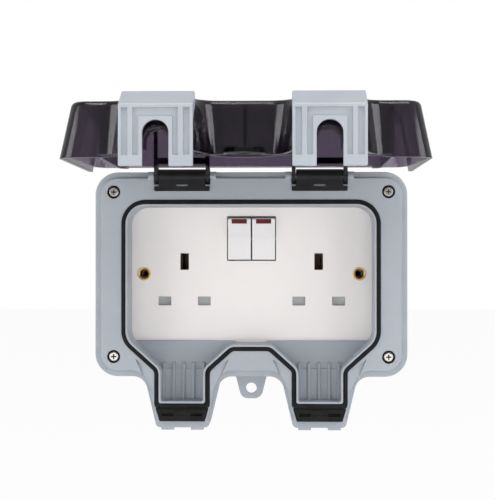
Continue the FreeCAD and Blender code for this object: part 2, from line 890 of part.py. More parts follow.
def make_hinge_bracket(name, side):
    """The black bracket on the frame: a plate with a window, and the barrel that holds the pin."""
    bracket = Moulding("hinge_bracket_body")
    middle = HINGE * side
    front = S["front_depth"] + S["bracket_thick"]
    shoulder = S["lid_top"] - S["notch_gap"]
    barrel = S["barrel_half"]
    bottom = S["bracket_bottom"]
    bracket.add("wall", S["front_depth"], front, [
        (middle - ARM_OUT, bottom, 0.8), (middle + ARM_OUT, bottom, 0.8), (middle + ARM_OUT, shoulder),
        (middle + barrel, shoulder), (middle + barrel, S["hinge_up"] - 1),
        (middle - barrel, S["hinge_up"] - 1), (middle - barrel, shoulder),
        (middle - ARM_OUT, shoulder)])
    window = S["bracket_window"] / 2
    bracket.take("wall", S["front_depth"], front,
                 box_outline(middle - window, middle + window, shoulder, shoulder + 1.3))
    bracket.add("side", middle - barrel, middle + barrel,
                Ring(S["hinge_depth"], S["hinge_up"], S["knuckle"]))
    bracket.take("side", middle - barrel, middle + barrel,
                 Ring(S["hinge_depth"], S["hinge_up"], S["hinge_pin"]))
    return node(f"hinge_bracket_{name}", bracket.body)


def make_hinge_pin(name, side):
    reach = BOSS_OUT - S["edge_round"]
    pin = rod(S["hinge_pin"], reach * 2, HINGE * side - reach, S["hinge_depth"], S["hinge_up"], "x")
    return node(f"hinge_pin_{name}", pin)


def open_lid(thing):
    """Turn a piece that is drawn shut to where it stands with the lid open."""
    depth = S["hinge_depth"]
    up = S["hinge_up"]
    turn = FreeCAD.Rotation(FreeCAD.Vector(1, 0, 0), -90)
    thing.Placement = FreeCAD.Placement(FreeCAD.Vector(0, 0, 0), turn)
    bind(thing, "Placement.Base.y", -(depth + up))
    bind(thing, "Placement.Base.z", up - depth)
    return thing


def make_hinge_arm(name, side):
    """The black leaf on the lid: two eyes round the pin, and two bars along the top of the lid."""
    leaf = Moulding("hinge_arm_body")
    middle = HINGE * side
    depth = S["hinge_depth"]
    up = S["hinge_up"]
    eye = S["knuckle"]
    top = S["lid_top"]
    bar_end = S["lid_front_depth"] - S["lid_edge"] * 1.5
    start = S["lid_top_rim_depth"]
    tall = S["arm_thick"]
    arm = [(depth - eye, up - eye, eye * 0.97), (depth - eye, up + eye, eye * 0.97),
           (depth + eye / 2, up + eye, 1), (start + eye, top + tall, 2), (bar_end, top + tall * 0.8, 0.5),
           (bar_end, top), (start + 0.4, top, 0.6), (depth + 1, up - eye, 0.4)]
    for low, high in ((-ARM_OUT, -ARM_IN), (ARM_IN, ARM_OUT)):
        leaf.add("side", middle + low, middle + high, arm)
    leaf.add("side", middle - ARM_IN - 0.5, middle + ARM_IN + 0.5,
             box_side(start + tall, start + tall * 2.6, top, top + tall * 0.8))
    for low, high in ((-ARM_OUT, -ARM_IN), (ARM_IN, ARM_OUT)):
        leaf.take("side", middle + low, middle + high,
                  Ring(depth, up, S["hinge_pin"] + S["running"]))
    return node(f"hinge_arm_{name}", open_lid(leaf.body))


def box_side(depth0, depth1, z0, z1, radius=None):
    """Four corners on the side plane."""
    tail = () if radius is None else (radius,)
    return [(depth0, z0, *tail), (depth1, z0, *tail), (depth1, z1, *tail), (depth0, z1, *tail)]


def lid_outline(inset):
    """The lid's outline at one depth. The top wall has no draft."""
    inset = size(inset)
    bottom = S["frame_bottom"] - inset
    over = S["lid_tip_over"] + S["lid_inset"]
    tip = S["outlet_tip"] + over - inset
    half = S["frame_half_wide"] - inset
    blend = S["outlet_blend"] + inset
    return mirrored([
        (OUTLET - outlet_half(bottom, inset), -bottom, blend),
        (OUTLET - outlet_half(tip, inset), -tip, S["outlet_corner"]),
        (OUTLET + outlet_half(tip, inset), -tip, S["outlet_corner"]),
        (OUTLET + outlet_half(bottom, inset), -bottom, blend),
        (half, -bottom, S["lid_corner"]),
        (half, S["lid_cut_down"], 4),
        (half - S["lid_cut_in"], S["lid_top"], 3),
    ])


def lid_shape(name, wall):
    """The lid's solid form, drawn wall inside the outer surface and stopping wall short of the front."""
    lid = Moulding(name)
    wall = size(wall)
    start = S["lid_rim_depth"] - wall / 2
    end = S["lid_front_depth"] - wall
    start_in = S["lid_inset"] + wall + (start - S["lid_rim_depth"]) * S["lid_draft"]
    end_in = S["lid_inset"] + wall + (end - S["lid_rim_depth"]) * S["lid_draft"]
    lid.loft((start, inner_top(start_in, wall)), (end, inner_top(end_in, wall)))
    return lid, end


def inner_top(inset, wall):
    """The lid outline with its top wall moved down by the wall."""
    corners = lid_outline(inset)
    count = len(corners)
    top = (count // 2 - 1, count // 2)
    cut_corner = (count // 2 - 2, count // 2 + 1)
    for index in top:
        x, z, radius = corners[index]
        corners[index] = (x, z - wall, radius)
    for index in cut_corner:
        x, z, radius = corners[index]
        corners[index] = (x, z - wall * 0.3, radius)
    return corners


def slope_off(lid, end, wall):
    """Lower the front over the two horns that cover the cable outlets."""
    wall = size(wall)
    steep = S["horn_drop"] / S["horn_run"]
    far = S["horn_run"] + S["latch_thick"] * 3
    lid.take("side", -S["frame_half_wide"], S["frame_half_wide"], [
        (end + 1, -S["horn_start"]), (end, -S["horn_start"]),
        (end - far * steep, -(S["horn_start"] + far)), (end + 1, -(S["horn_start"] + far))])


def make_lid():
    """The smoked cover: a drafted shell with two horns, an inner sealing rib, and the padlock tab."""
    wall = S["lid_wall"]
    front = S["lid_front_depth"]
    outer, end = lid_shape("lid_outer", 0)
    outer.round(S["lid_edge"], flat_at(front))
    slope_off(outer, end, 0)
    hollow, end = lid_shape("lid_hollow", wall)
    slope_off(hollow, end, wall)
    shell = cut(outer.body, hollow.body)
    half_rib = S["lid_rib_thick"] / 2
    rib_foot = S["front_depth"] + S["gasket_proud"] + S["lid_rib_gap"]
    ribs = Moulding("lid_ribs")
    ribs.add("wall", rib_foot, front - wall / 2,
             seal_path(half_rib), seal_path(-half_rib))
    shin = block(-half_rib, half_rib, rib_foot, front - wall / 2,
                 -(S["frame_bottom"] - wall / 2), -(S["frame_bottom"] - wall * 4))
    stiffeners = common(fuse(ribs.body, shin), outer.body)
    tab = Moulding("lid_tab")
    tab_depth = S["front_depth"] + S["lid_rib_gap"] * 1.5
    tab_half = S["tab_radius"] - 1
    tab_end = S["padlock_hole_down"] + S["tab_radius"] - S["padlock_hole"]
    tab.add("wall", tab_depth, tab_depth + S["tab_thick"], [
        (-tab_half, -tab_end, tab_half * 0.95), (tab_half, -tab_end, tab_half * 0.95),
        (tab_half, wall + S["lid_inset"] - S["frame_bottom"]),
        (-tab_half, wall + S["lid_inset"] - S["frame_bottom"])])
    pieces = [shell, stiffeners, tab.body]
    past_side = S["frame_half_wide"] + wall
    openings = [
        block(-past_side, past_side, S["band_depth"], S["lid_top_rim_depth"], S["lid_cut_down"] - 2.5,
              S["frame_top"]),
        block(-past_side, past_side, S["band_depth"], tab_depth, -(S["outlet_tip"] * 1.1),
              -(S["frame_bottom"] + S["band_wide"] / 2)),
        rod(S["padlock_hole"], S["tab_thick"] * 2, 0, tab_depth - 1, -S["padlock_hole_down"]),
    ]
    pivot_depth = S["latch_pivot_depth"]
    pivot_down = S["latch_pivot_down"]
    lug = S["latch_lug"]
    steep = S["horn_drop"] / S["horn_run"]
    foot = front - (pivot_down - S["horn_start"]) * steep - wall / 2
    flank = outlet_half(S["frame_bottom"]) + S["outlet_blend"]
    for side in (-1, 1):
        middle = OUTLET * side
        openings.append(block(middle - flank, middle + flank, S["band_depth"], tab_depth,
                              -(S["frame_bottom"] + S["band_wide"]), S["band_wide"] - S["frame_bottom"]))
        for low in (-1, 1):
            ear = Moulding("latch_ear")
            centre = middle + S["latch_slot"] * 1.5 * low
            ear.add("side", centre - lug * 0.8, centre + lug * 0.8, [
                (foot - lug, -(pivot_down + lug * 1.4)), (pivot_depth + lug, -(pivot_down + lug), lug * 0.97),
                (pivot_depth + lug, lug - pivot_down, lug * 0.97), (foot, lug * 1.6 - pivot_down)])
            pieces.append(ear.body)
        openings.append(rod(S["latch_pin"], S["latch_wide"], middle - S["latch_wide"] / 2,
                            pivot_depth, -pivot_down, "x"))
        arch = S["cable_arch"]
        mouth = Moulding("cable_mouth")
        mouth.add("floor", -(S["outlet_tip"] + wall * 2), wall * 1.5 - CHANNEL_END, [
            (middle - arch, S["band_depth"]), (middle + arch, S["band_depth"]),
            (middle + arch, S["cable_arch_top"], arch * 0.98),
            (middle - arch, S["cable_arch_top"], arch * 0.98)])
        openings.append(mouth.body)
    return node("lid", open_lid(cut(fuse(*pieces), *openings)))


LATCH_STEEP = (S["latch_top_depth"] - S["latch_knee_depth"]) / (S["latch_face"] - S["latch_top_back"])
LATCH_LEAN = (LATCH_STEEP * LATCH_STEEP + 1).root()
LATCH_COS = size(1) / LATCH_LEAN
LATCH_SIN = LATCH_STEEP / LATCH_LEAN


def make_latch(name, side):
    """A hinged catch with two legs astride the cable, shaped like a shallow tray."""
    latch = Moulding("latch_body")
    middle = OUTLET * side
    half = S["latch_wide"] / 2
    face = S["latch_face"]
    thick = S["latch_thick"]
    end = S["latch_end_depth"] - S["catch_proud"]
    knee = S["latch_knee_depth"]
    top = S["latch_top_depth"]
    back = S["latch_top_back"]
    bend = (size(1) - LATCH_COS) / LATCH_SIN
    inner_knee = knee - thick * bend
    inside = face - thick
    latch.add("side", middle - half, middle + half, [
        (end, -face, 0.8), (knee, -face, 1.6), (top, -back, 0.8),
        (top - thick * LATCH_COS, thick * LATCH_SIN - back), (inner_knee, -inside), (end, -inside)])
    cheek = S["latch_cheek"]
    ear = S["latch_ear"]
    pivot = S["latch_pivot_depth"]
    down = S["latch_pivot_down"]
    for low, high in ((-half, cheek - half), (half - cheek, half)):
        latch.add("side", middle + low, middle + high, [
            (knee - thick * 3, -(inside + thick / 2)), (knee, -(inside + thick / 2)),
            (top - thick / 2, thick / 4 - back), (pivot + ear * 1.2, ear * 0.9 - down, 0.8),
            (pivot - ear, ear - down, ear * 0.7), (pivot - ear * 1.45, -(down + ear * 0.9), ear * 0.7)])
    latch.round(S["edge_round"], lambda edge: runs_round_ends(edge, middle, half))
    slot = S["latch_slot"]
    slot_end = end + S["catch_proud"] + S["latch_slot_tall"]
    latch.take("floor", -(face + 1), -(inside - 1), [
        (middle - slot, end - 1), (middle + slot, end - 1),
        (middle + slot, slot_end, slot * 0.98), (middle - slot, slot_end, slot * 0.98)])
    rim = S["latch_rim_wide"]
    rib_in = half - rim * 4
    rib_out = half - rim * 2.6
    tray_top = knee - rim
    tray_end = end + rim * 3
    outer_run = half - rim * 0.9
    for low, high in ((slot + rim, rib_in), (rib_out, outer_run)):
        for turn in (-1, 1):
            x0, x1 = (middle + low, middle + high) if turn > 0 else (middle - high, middle - low)
            latch.take("floor", -face, S["latch_rim"] - face, box_outline(x0, x1, tray_end, tray_top))
    latch.take("floor", -face, S["latch_rim"] - face,
               box_outline(middle - slot - rim - 0.1, middle + slot + rim + 0.1, slot_end + rim, tray_top))
    for low in (S["catch_inner"] + rim, -(S["catch_inner"] + S["catch_wide"])):
        latch.add("side", middle + low, middle + low + S["catch_wide"] - rim, [
            (end, -(inside + thick / 2)), (end, S["latch_hook_tall"] - inside),
            (end + 1.2, S["latch_hook_tall"] - inside), (end + 1.9, -inside), (end + 1.9, -(inside + 0.5))])
    latch.take("side", middle - half, middle + half,
               Ring(pivot, -down, S["latch_pin"] + S["running"]))
    return node(f"latch_{name}", open_lid(latch.body))


def runs_round_ends(edge, middle, half):
    """The latch's outline edges on its two outer sides."""
    box = edge.BoundBox
    for reach in (middle - half, middle + half):
        if abs(box.XMin - reach.number) < 1e-4 and abs(box.XMax - reach.number) < 1e-4:
            return box.ZMax < -(S["latch_face"] - S["latch_thick"] / 2).number
    return False


def make_latch_pin(name, side):
    middle = OUTLET * side
    reach = S["latch_wide"] / 2 - S["edge_round"]
    pin = slab("side", middle - reach, middle + reach,
               Ring(S["latch_pivot_depth"], -S["latch_pivot_down"], S["latch_pin"]))
    return node(f"latch_pin_{name}", open_lid(pin))


SOCKET = S["socket_apart"] / 2
POWER_UP = S["earth_up"] - S["pin_drop"]
PLATE_SKIN_BACK = S["plate_depth"] - S["plate_skin"]
WINDOW_HALF = S["rocker_wide"] + S["rocker_gap"] / 2 + S["rocker_clear"]
EYELET = S["eyelet_apart"] / 2
PLATE_BACK = S["plate_depth"] - S["plate_thick"]
HOUSING_SCREWS = {name: (S["housing_screw_apart"] / 2 * side, S["housing_screw_up"])
                  for name, side in SIDES.items()}
HOUSING_BACK = PLATE_SKIN_BACK - S["housing_deep"]
HOUSING_FLOOR = HOUSING_BACK + S["housing_wall"]
CLIP_FOOT = HOUSING_FLOOR + S["clip_lift"]
ROCKER_MIDDLE = S["rocker_gap"] / 2 + S["rocker_wide"] / 2
ROCKER_BACK = S["rocker_low_depth"] - S["rocker_back"]
ARM_PIVOT_DEPTH = S["rocker_axis_depth"] - S["arm_pivot_drop"]
SHUTTER_DEPTH = PLATE_SKIN_BACK - S["shutter_gap"]
SPRING_TOP = POWER_UP - S["shutter_tall"] / 2 - S["shutter_stem"]


def make_faceplate():
    """The white moulded front of the double socket."""
    plate = Moulding("faceplate_body")
    half = S["plate_wide"] / 2
    tall = S["plate_tall"] / 2
    corner = S["plate_corner"]
    side_wall = S["plate_side"]
    back = PLATE_BACK
    plate.add("wall", back, S["plate_depth"], box_outline(-half, half, -tall, tall, corner))
    plate.round(1.2, flat_at(S["plate_depth"]))
    plate.take("wall", back, PLATE_SKIN_BACK,
               box_outline(side_wall - half, half - side_wall, side_wall - tall, tall - side_wall,
                           corner - side_wall))
    plate.add("wall", back, PLATE_SKIN_BACK + S["sink"],
              *[Ring(EYELET * side, 0, S["eyelet_boss"]) for side in (-1, 1)])
    plate.take("wall", back, S["plate_depth"],
               *[Ring(EYELET * side, 0, S["eyelet_body"]) for side in (-1, 1)])
    window_tall = S["rocker_tall"] / 2 + S["rocker_clear"]
    plate.take("wall", PLATE_SKIN_BACK, S["plate_depth"],
               box_outline(-WINDOW_HALF, WINDOW_HALF, S["rocker_up"] - window_tall,
                           S["rocker_up"] + window_tall, S["rocker_clear"]))
    ear = S["spindle_ear"]
    ear_in = WINDOW_HALF + S["seat"] * 2
    ear_out = ear_in + S["spindle_ear_thick"]
    for low, high in ((-ear_out, -ear_in), (ear_in, ear_out)):
        plate.add("side", low, high, box_side(S["rocker_axis_depth"] - ear, PLATE_SKIN_BACK + S["sink"],
                                              S["rocker_up"] - ear, S["rocker_up"] + ear))
        plate.take("side", low, high, Ring(S["rocker_axis_depth"], S["rocker_up"], S["spindle"]))
    for side in (-1, 1):
        middle = SOCKET * side
        plate.take("wall", PLATE_SKIN_BACK, S["plate_depth"],
                   slot_outline(middle, S["earth_up"], S["earth_slot_wide"], S["earth_slot_tall"]),
                   slot_outline(middle - S["pin_apart"] / 2, POWER_UP, S["power_slot_wide"],
                                S["power_slot_tall"]),
                   slot_outline(middle + S["pin_apart"] / 2, POWER_UP, S["power_slot_wide"],
                                S["power_slot_tall"]))
    for x, z in HOUSING_SCREWS.values():
        plate.add("wall", back, PLATE_SKIN_BACK + S["sink"], Ring(x, z, S["housing_boss"]))
        plate.take("wall", back, PLATE_SKIN_BACK + S["sink"] * 1.5, Ring(x, z, S["housing_screw"]))
    return node("faceplate", plate.body)


def slot_outline(x, z, wide, tall):
    return box_outline(x - wide / 2, x + wide / 2, z - tall / 2, z + tall / 2, 0.3)


def make_eyelet(name, side):
    """The brass sleeve that takes a fixing screw."""
    front = S["plate_depth"] + S["eyelet_proud"]
    sleeve = rod(S["eyelet_body"], S["plate_thick"], EYELET * side, PLATE_BACK, 0)
    flange = rod(S["eyelet_flange"], S["eyelet_proud"], EYELET * side, S["plate_depth"], 0)
    bore = rod(S["eyelet_hole"], S["plate_thick"] * 2, EYELET * side, front - S["plate_thick"] * 1.5, 0)
    return node(f"eyelet_{name}", cut(fuse(sleeve, flange), bore))


def make_cover_screw(name, spot):
    """A pan head screw with a cross recess. It holds the front frame to the back box."""
    x, z = spot
    head_back = S["front_depth"] - S["screw_head_tall"]
    screw = Moulding("cover_screw_body")
    tip = S["box_depth"] - S["screw_bite"] + 2
    screw.add("wall", head_back, S["front_depth"] - 0.1, Ring(x, z, S["screw_head"]))
    screw.round(0.6, flat_at(S["front_depth"] - 0.1))
    screw.add("wall", tip, head_back, Ring(x, z, S["screw_shank"] - 0.02))
    arm = S["screw_head"] * 0.55
    thin = S["screw_head"] * 0.14
    for a, b in ((arm, thin), (thin, arm)):
        screw.take("wall", head_back + 0.5, S["front_depth"], box_outline(x - a, x + a, z - b, z + b))
    return node(f"cover_screw_{name}", screw.body)


def make_screw_ring(name, spot):
    x, z = spot
    base = S["front_depth"] - S["screw_head_tall"] - S["screw_ring_thick"]
    outside = rod(S["screw_recess"] - S["seat"], S["screw_ring_thick"], x, base, z)
    inside = rod(S["screw_shank"] + S["seat"], S["screw_ring_thick"] * 3, x, base - 1, z)
    return node(f"screw_ring_{name}", cut(outside, inside))


def rocker_face(z):
    """Depth of the rocker's upper face at a height."""
    rise = S["rocker_top_depth"] - S["rocker_mid_depth"]
    run = S["rocker_tall"] / 2 - 1.2
    return S["rocker_mid_depth"] + (z - S["rocker_up"]) * (rise / run)


def make_rocker(name, side):
    """A switch rocker, drawn switched on: its lower half is pressed in."""
    rocker = Moulding("rocker_body")
    middle = ROCKER_MIDDLE * side
    x0 = middle - S["rocker_wide"] / 2
    x1 = middle + S["rocker_wide"] / 2
    up = S["rocker_up"]
    reach = S["rocker_tall"] / 2
    back = ROCKER_BACK
    high = up + reach - 1.2
    rocker.add("side", x0, x1, [
        (back, up - reach + 0.4, 0.5), (S["rocker_low_depth"], up - reach, 0.8),
        (S["rocker_mid_depth"], up, 8), (S["rocker_top_depth"], high, 0.6),
        (S["rocker_low_depth"], up + reach - 0.4, 1), (back, up + reach - 0.8, 0.5)])
    stub = back - S["plunger_stub_long"]
    rocker.add("wall", stub, back + 1, Ring(middle, up, S["plunger_stub"]))
    rocker.take("side", x0, x1, Ring(S["rocker_axis_depth"], up, S["spindle"] + S["running"]))
    rocker.take("wall", stub, S["rocker_axis_depth"] - S["spindle"] * 1.4,
                Ring(middle, up, S["plunger_bore"]))
    rocker.take("side", middle - S["rocker_flag_wide"] / 2, middle + S["rocker_flag_wide"] / 2,
                flag_outline(high, 1))
    return node(f"rocker_{name}", rocker.body)


def flag_outline(high, over=0):
    low = high - S["rocker_flag_tall"]
    deep = S["rocker_flag_thick"]
    return [(rocker_face(low) - deep, low), (rocker_face(low) + over, low),
            (rocker_face(high) + over - 0.25, high), (rocker_face(high) - deep, high)]


def make_rocker_flag(name, side):
    """The red strip that shows when the switch is on."""
    middle = ROCKER_MIDDLE * side
    high = S["rocker_up"] + S["rocker_tall"] / 2 - 1.2
    flag = Moulding("rocker_flag_body")
    flag.add("side", middle - S["rocker_flag_wide"] / 2, middle + S["rocker_flag_wide"] / 2,
             flag_outline(high))
    return node(f"rocker_flag_{name}", flag.body)


def make_spindle():
    reach = WINDOW_HALF + S["spindle_ear_thick"]
    return node("rocker_spindle", rod(S["spindle"], reach * 2, -reach, S["rocker_axis_depth"],
                                      S["rocker_up"], "x"))


def make_rear_housing():
    """The moulded tray behind the faceplate that holds the contacts."""
    housing = Moulding("rear_housing_body")
    half = S["housing_half_wide"]
    top = S["housing_top"]
    low = S["housing_bottom"]
    wall = S["housing_wall"]
    housing.add("wall", HOUSING_BACK, PLATE_SKIN_BACK - S["seat"], box_outline(-half, half, -low, top, 3))
    housing.take("wall", HOUSING_FLOOR, PLATE_SKIN_BACK - S["seat"],
                 box_outline(wall - half, half - wall, wall - low, top - wall, 3 - wall / 2))
    housing.add("wall", HOUSING_BACK, PLATE_BACK,
                *[Ring(x, z, S["housing_boss"]) for x, z in HOUSING_SCREWS.values()])
    housing.take("wall", HOUSING_BACK, PLATE_BACK,
                 *[Ring(x, z, S["housing_screw"] + S["seat"]) for x, z in HOUSING_SCREWS.values()])
    for side in (-1, 1):
        for hand in (-1, 1):
            x = SOCKET * side + S["pin_apart"] / 2 * hand
            foot = S["clip_leaf"] * 2
            housing.add("wall", HOUSING_FLOOR - S["sink"], CLIP_FOOT,
                        box_outline(x - foot, x + foot, POWER_UP - foot, POWER_UP + foot))
    return node("rear_housing", housing.body)


def make_housing_screw(name, spot):
    x, z = spot
    shank = S["housing_screw"]
    tall = S["housing_screw_head_tall"]
    screw = Moulding("housing_screw_body")
    screw.add("wall", HOUSING_BACK - tall, HOUSING_BACK, Ring(x, z, S["housing_screw_head"]))
    screw.add("wall", HOUSING_BACK, PLATE_SKIN_BACK - S["sink"], Ring(x, z, shank))
    for a, b in ((shank, shank / 4), (shank / 4, shank)):
        screw.take("wall", HOUSING_BACK - tall, HOUSING_BACK - tall / 2,
                   box_outline(x - a, x + a, z - b, z + b))
    return node(f"housing_screw_{name}", screw.body)


def power_clip(x):
    """Two sprung leaves above and below a power pin, on a shared foot."""
    foot = CLIP_FOOT
    half = S["power_clip_wide"] / 2
    grip = S["pin_grip"] / 2
    leaf = S["clip_leaf"]
    tip = foot + S["clip_long"]
    return [
        block(x - half, x + half, foot, foot + leaf, POWER_UP - grip - leaf, POWER_UP + grip + leaf),
        block(x - half, x + half, foot, tip, POWER_UP + grip, POWER_UP + grip + leaf),
        block(x - half, x + half, foot, tip, POWER_UP - grip - leaf, POWER_UP - grip),
    ]


def make_neutral_contact():
    """One folded brass strip that joins both neutral clips."""
    foot = CLIP_FOOT
    bar = S["bar_thick"]
    half = S["power_clip_wide"] / 2
    low = POWER_UP - S["bar_drop"]
    spots = [SOCKET * side - S["pin_apart"] / 2 for side in (-1, 1)]
    pieces = [block(spots[0] - half, spots[1] + half, foot, foot + bar, low - half, low)]
    for x in spots:
        pieces += power_clip(x)
        pieces.append(block(x - half, x + half, foot, foot + bar, low - half, POWER_UP))
    return node("neutral_contact", fuse(*pieces))


def make_line_contact(name, side):
    """A brass strip from the line clip up beside the switch and over to its fixed contact."""
    bar = S["bar_thick"]
    half = S["power_clip_wide"] / 2
    x = SOCKET * side + S["pin_apart"] / 2
    switch = ROCKER_MIDDLE * side
    riser = half / 2
    riser_at = switch + S["riser_aside"] * side
    run_up = S["line_bar_up"]
    high = S["rocker_up"] + S["arm_reach"]
    x0, x1 = (riser_at - riser, x + half) if side > 0 else (x - half, riser_at + riser)
    over = sorted((switch - riser, switch + riser, riser_at - riser, riser_at + riser),
                  key=lambda place_across: place_across.number)
    tip = ARM_PIVOT_DEPTH - S["arm_dip"] * ((S["arm_reach"] + riser) / S["arm_reach"]) - S["seat"]
    return node(f"line_contact_{name}", fuse(
        *power_clip(x),
        block(x - half, x + half, CLIP_FOOT, CLIP_FOOT + bar, POWER_UP, run_up),
        block(x0, x1, CLIP_FOOT, CLIP_FOOT + bar, run_up - half, run_up),
        block(riser_at - riser, riser_at + riser, HOUSING_FLOOR, CLIP_FOOT + bar, run_up - half, run_up),
        block(riser_at - riser, riser_at + riser, HOUSING_FLOOR, HOUSING_FLOOR + bar, run_up - half,
              high + riser),
        block(over[0], over[-1], HOUSING_FLOOR, HOUSING_FLOOR + bar, high - riser, high + riser),
        rod(riser, tip - HOUSING_FLOOR, switch, HOUSING_FLOOR, high)))


def make_earth_contact():
    """One brass strip that joins both earth clips."""
    bar = S["bar_thick"]
    floor = HOUSING_FLOOR
    grip = S["pin_grip"] / 2
    leaf = S["clip_leaf"]
    low = S["earth_up"] - S["earth_clip_tall"] / 2
    high = S["earth_up"] + S["earth_clip_tall"] / 2
    foot = S["housing_wall"] + bar - S["housing_bottom"]
    run = foot + S["power_clip_wide"] / 2
    pieces = [block(-(SOCKET + grip), SOCKET + grip, floor, floor + bar, foot, run)]
    for side in (-1, 1):
        x = SOCKET * side
        pieces.append(block(x - grip - leaf, x + grip + leaf, floor, floor + bar, foot, high))
        for start in (-(grip + leaf), grip):
            pieces.append(block(x + start, x + start + leaf, floor, CLIP_FOOT + S["clip_long"], low, high))
    return node("earth_contact", fuse(*pieces))


def make_feed_bar():
    """The common line feed: a brass bar with a beaded edge that the two contact arms rock on."""
    reach = ROCKER_MIDDLE + S["arm_wide"] / 2
    up = S["rocker_up"]
    half = S["power_clip_wide"] / 2
    edge = ARM_PIVOT_DEPTH - S["seat"]
    blade = S["bar_thick"] / 3
    return node("feed_bar", fuse(
        block(-reach, reach, HOUSING_FLOOR, HOUSING_FLOOR + S["bar_thick"], up - half, up + half),
        slab("side", -reach, reach, [(HOUSING_FLOOR, up - half / 2), (edge, up - blade), (edge, up + blade),
                                     (HOUSING_FLOOR, up + half / 2)]),
        slab("side", -reach, reach, Ring(ARM_PIVOT_DEPTH, up, S["edge_bead"]))))


def make_contact_arm(name, side):
    """The rocking arm, grooved for the bead. Drawn switched on: its upper end is near the contact."""
    up = S["rocker_up"]
    reach = S["arm_reach"] + S["power_clip_wide"] / 4
    dip = S["arm_dip"] * (reach / S["arm_reach"])
    thick = S["bar_thick"]
    half = S["arm_wide"] / 2
    middle = ROCKER_MIDDLE * side
    arm = slab("side", middle - half, middle + half, [
        (ARM_PIVOT_DEPTH + dip, up - reach), (ARM_PIVOT_DEPTH - dip, up + reach),
        (ARM_PIVOT_DEPTH - dip + thick, up + reach), (ARM_PIVOT_DEPTH + dip + thick, up - reach)])
    groove = rod(S["edge_bead"] + S["running"], S["arm_wide"] * 2, middle - S["arm_wide"],
                 ARM_PIVOT_DEPTH, up, "x")
    return node(f"contact_arm_{name}", cut(arm, groove))


def make_plunger(name, side):
    """The sprung plunger in the rocker's stub. It tips the contact arm over."""
    middle = ROCKER_MIDDLE * side
    up = S["rocker_up"]
    tip = ARM_PIVOT_DEPTH + S["bar_thick"] + S["plunger_gap"]
    collar = ROCKER_BACK - S["plunger_stub_long"] + S["sink"]
    collar_end = collar + S["plunger_bore"]
    plunger = Moulding("plunger_body")
    plunger.add("wall", tip, collar_end, Ring(middle, up, S["plunger_bore"] / 2))
    plunger.round(S["plunger_bore"] * 0.4, flat_at(tip))
    plunger.add("wall", collar, collar_end, Ring(middle, up, S["plunger_bore"] - S["running"]))
    return node(f"switch_plunger_{name}", plunger.body)


def coil(wire, radius, length, turns, x, depth, z):
    """A coil of round wire whose lowest end is at z, drawn with short flat ends."""
    helix = doc.addObject("Part::Helix", "helix")
    bind(helix, "Pitch", length / turns)
    bind(helix, "Height", length)
    bind(helix, "Radius", radius)
    section = doc.addObject("Part::Circle", "wire")
    bind(section, "Radius", wire)
    turn = FreeCAD.Rotation(FreeCAD.Vector(1, 0, 0), 90)
    section.Placement = FreeCAD.Placement(FreeCAD.Vector(size(radius).number, 0, 0), turn)
    bind(section, "Placement.Base.x", radius)
    sweep = doc.addObject("Part::Sweep", "coil")
    sweep.Sections = [section]
    sweep.Spine = (helix, [])
    sweep.Solid = True
    sweep.Frenet = True
    return place(sweep, x, depth, z)


def make_shutter(name, side):
    """The grey slide behind both power slots. The earth pin drives it down."""
    middle = SOCKET * side
    reach = S["pin_apart"] / 2 + S["power_slot_wide"] / 2 + 1
    back = SHUTTER_DEPTH - S["shutter_thick"]
    half = S["shutter_tall"] / 2
    stem = S["spring_coil"] + S["spring_wire"] + 0.3
    shutter = fuse(
        block(middle - reach, middle + reach, back, SHUTTER_DEPTH, POWER_UP - half, POWER_UP + half),
        block(middle - stem, middle + stem, back - stem, SHUTTER_DEPTH, SPRING_TOP, POWER_UP - half + 0.5),
        slab("side", middle - 1.2, middle + 1.2, [
            (back, POWER_UP + half), (back, S["earth_up"] - S["earth_slot_tall"] / 2 - 1),
            (SHUTTER_DEPTH, S["earth_up"] - S["earth_slot_tall"] / 2 - 3), (SHUTTER_DEPTH, POWER_UP + half)]))
    return node(f"shutter_{name}", shutter)


def make_shutter_spring(name, side):
    """The coil under the shutter, which stands on the housing's lower wall."""
    wire = S["spring_wire"]
    foot = S["housing_wall"] - S["housing_bottom"] + wire * 1.2
    length = SPRING_TOP - wire * 1.2 - foot
    depth = SHUTTER_DEPTH - S["shutter_thick"] - S["spring_coil"] * 0.6
    spring = coil(wire, S["spring_coil"], length, S["spring_turns"], SOCKET * side, depth, foot)
    return node(f"shutter_spring_{name}", spring)


TERMINAL_FRONT = HOUSING_BACK - S["terminal_deep"]
WIRE_DEPTH = HOUSING_BACK - S["wire_bore"] - S["terminal_wall"]


def make_terminal(name, x):
    """A brass terminal block behind the housing, bored for the wire."""
    half = S["terminal_wide"] / 2
    low = S["terminal_low"]
    tall = S["terminal_tall"]
    solid = block(x - half, x + half, TERMINAL_FRONT, HOUSING_BACK, low, low + tall)
    bore = rod(S["wire_bore"], tall * 2, x, WIRE_DEPTH, low - tall / 2, "z")
    thread = rod(S["terminal_screw"], WIRE_DEPTH - TERMINAL_FRONT + 1, x, TERMINAL_FRONT - 1, low + tall / 2)
    return node(f"terminal_{name}", cut(solid, bore, thread))


def make_terminal_screw(name, x):
    """The screw that will press on the wire. Its slotted head end faces the wall."""
    up = S["terminal_low"] + S["terminal_tall"] / 2
    radius = S["terminal_screw"]
    start = TERMINAL_FRONT - radius
    end = WIRE_DEPTH - S["wire_bore"] - S["seat"] * 2
    screw = Moulding("terminal_screw_body")
    screw.add("wall", start, end, Ring(x, up, radius))
    slot = radius / 4
    reach = radius * 1.2
    screw.take("wall", start, start + radius / 2, box_outline(x - reach, x + reach, up - slot, up + slot))
    return node(f"terminal_screw_{name}", screw.body)


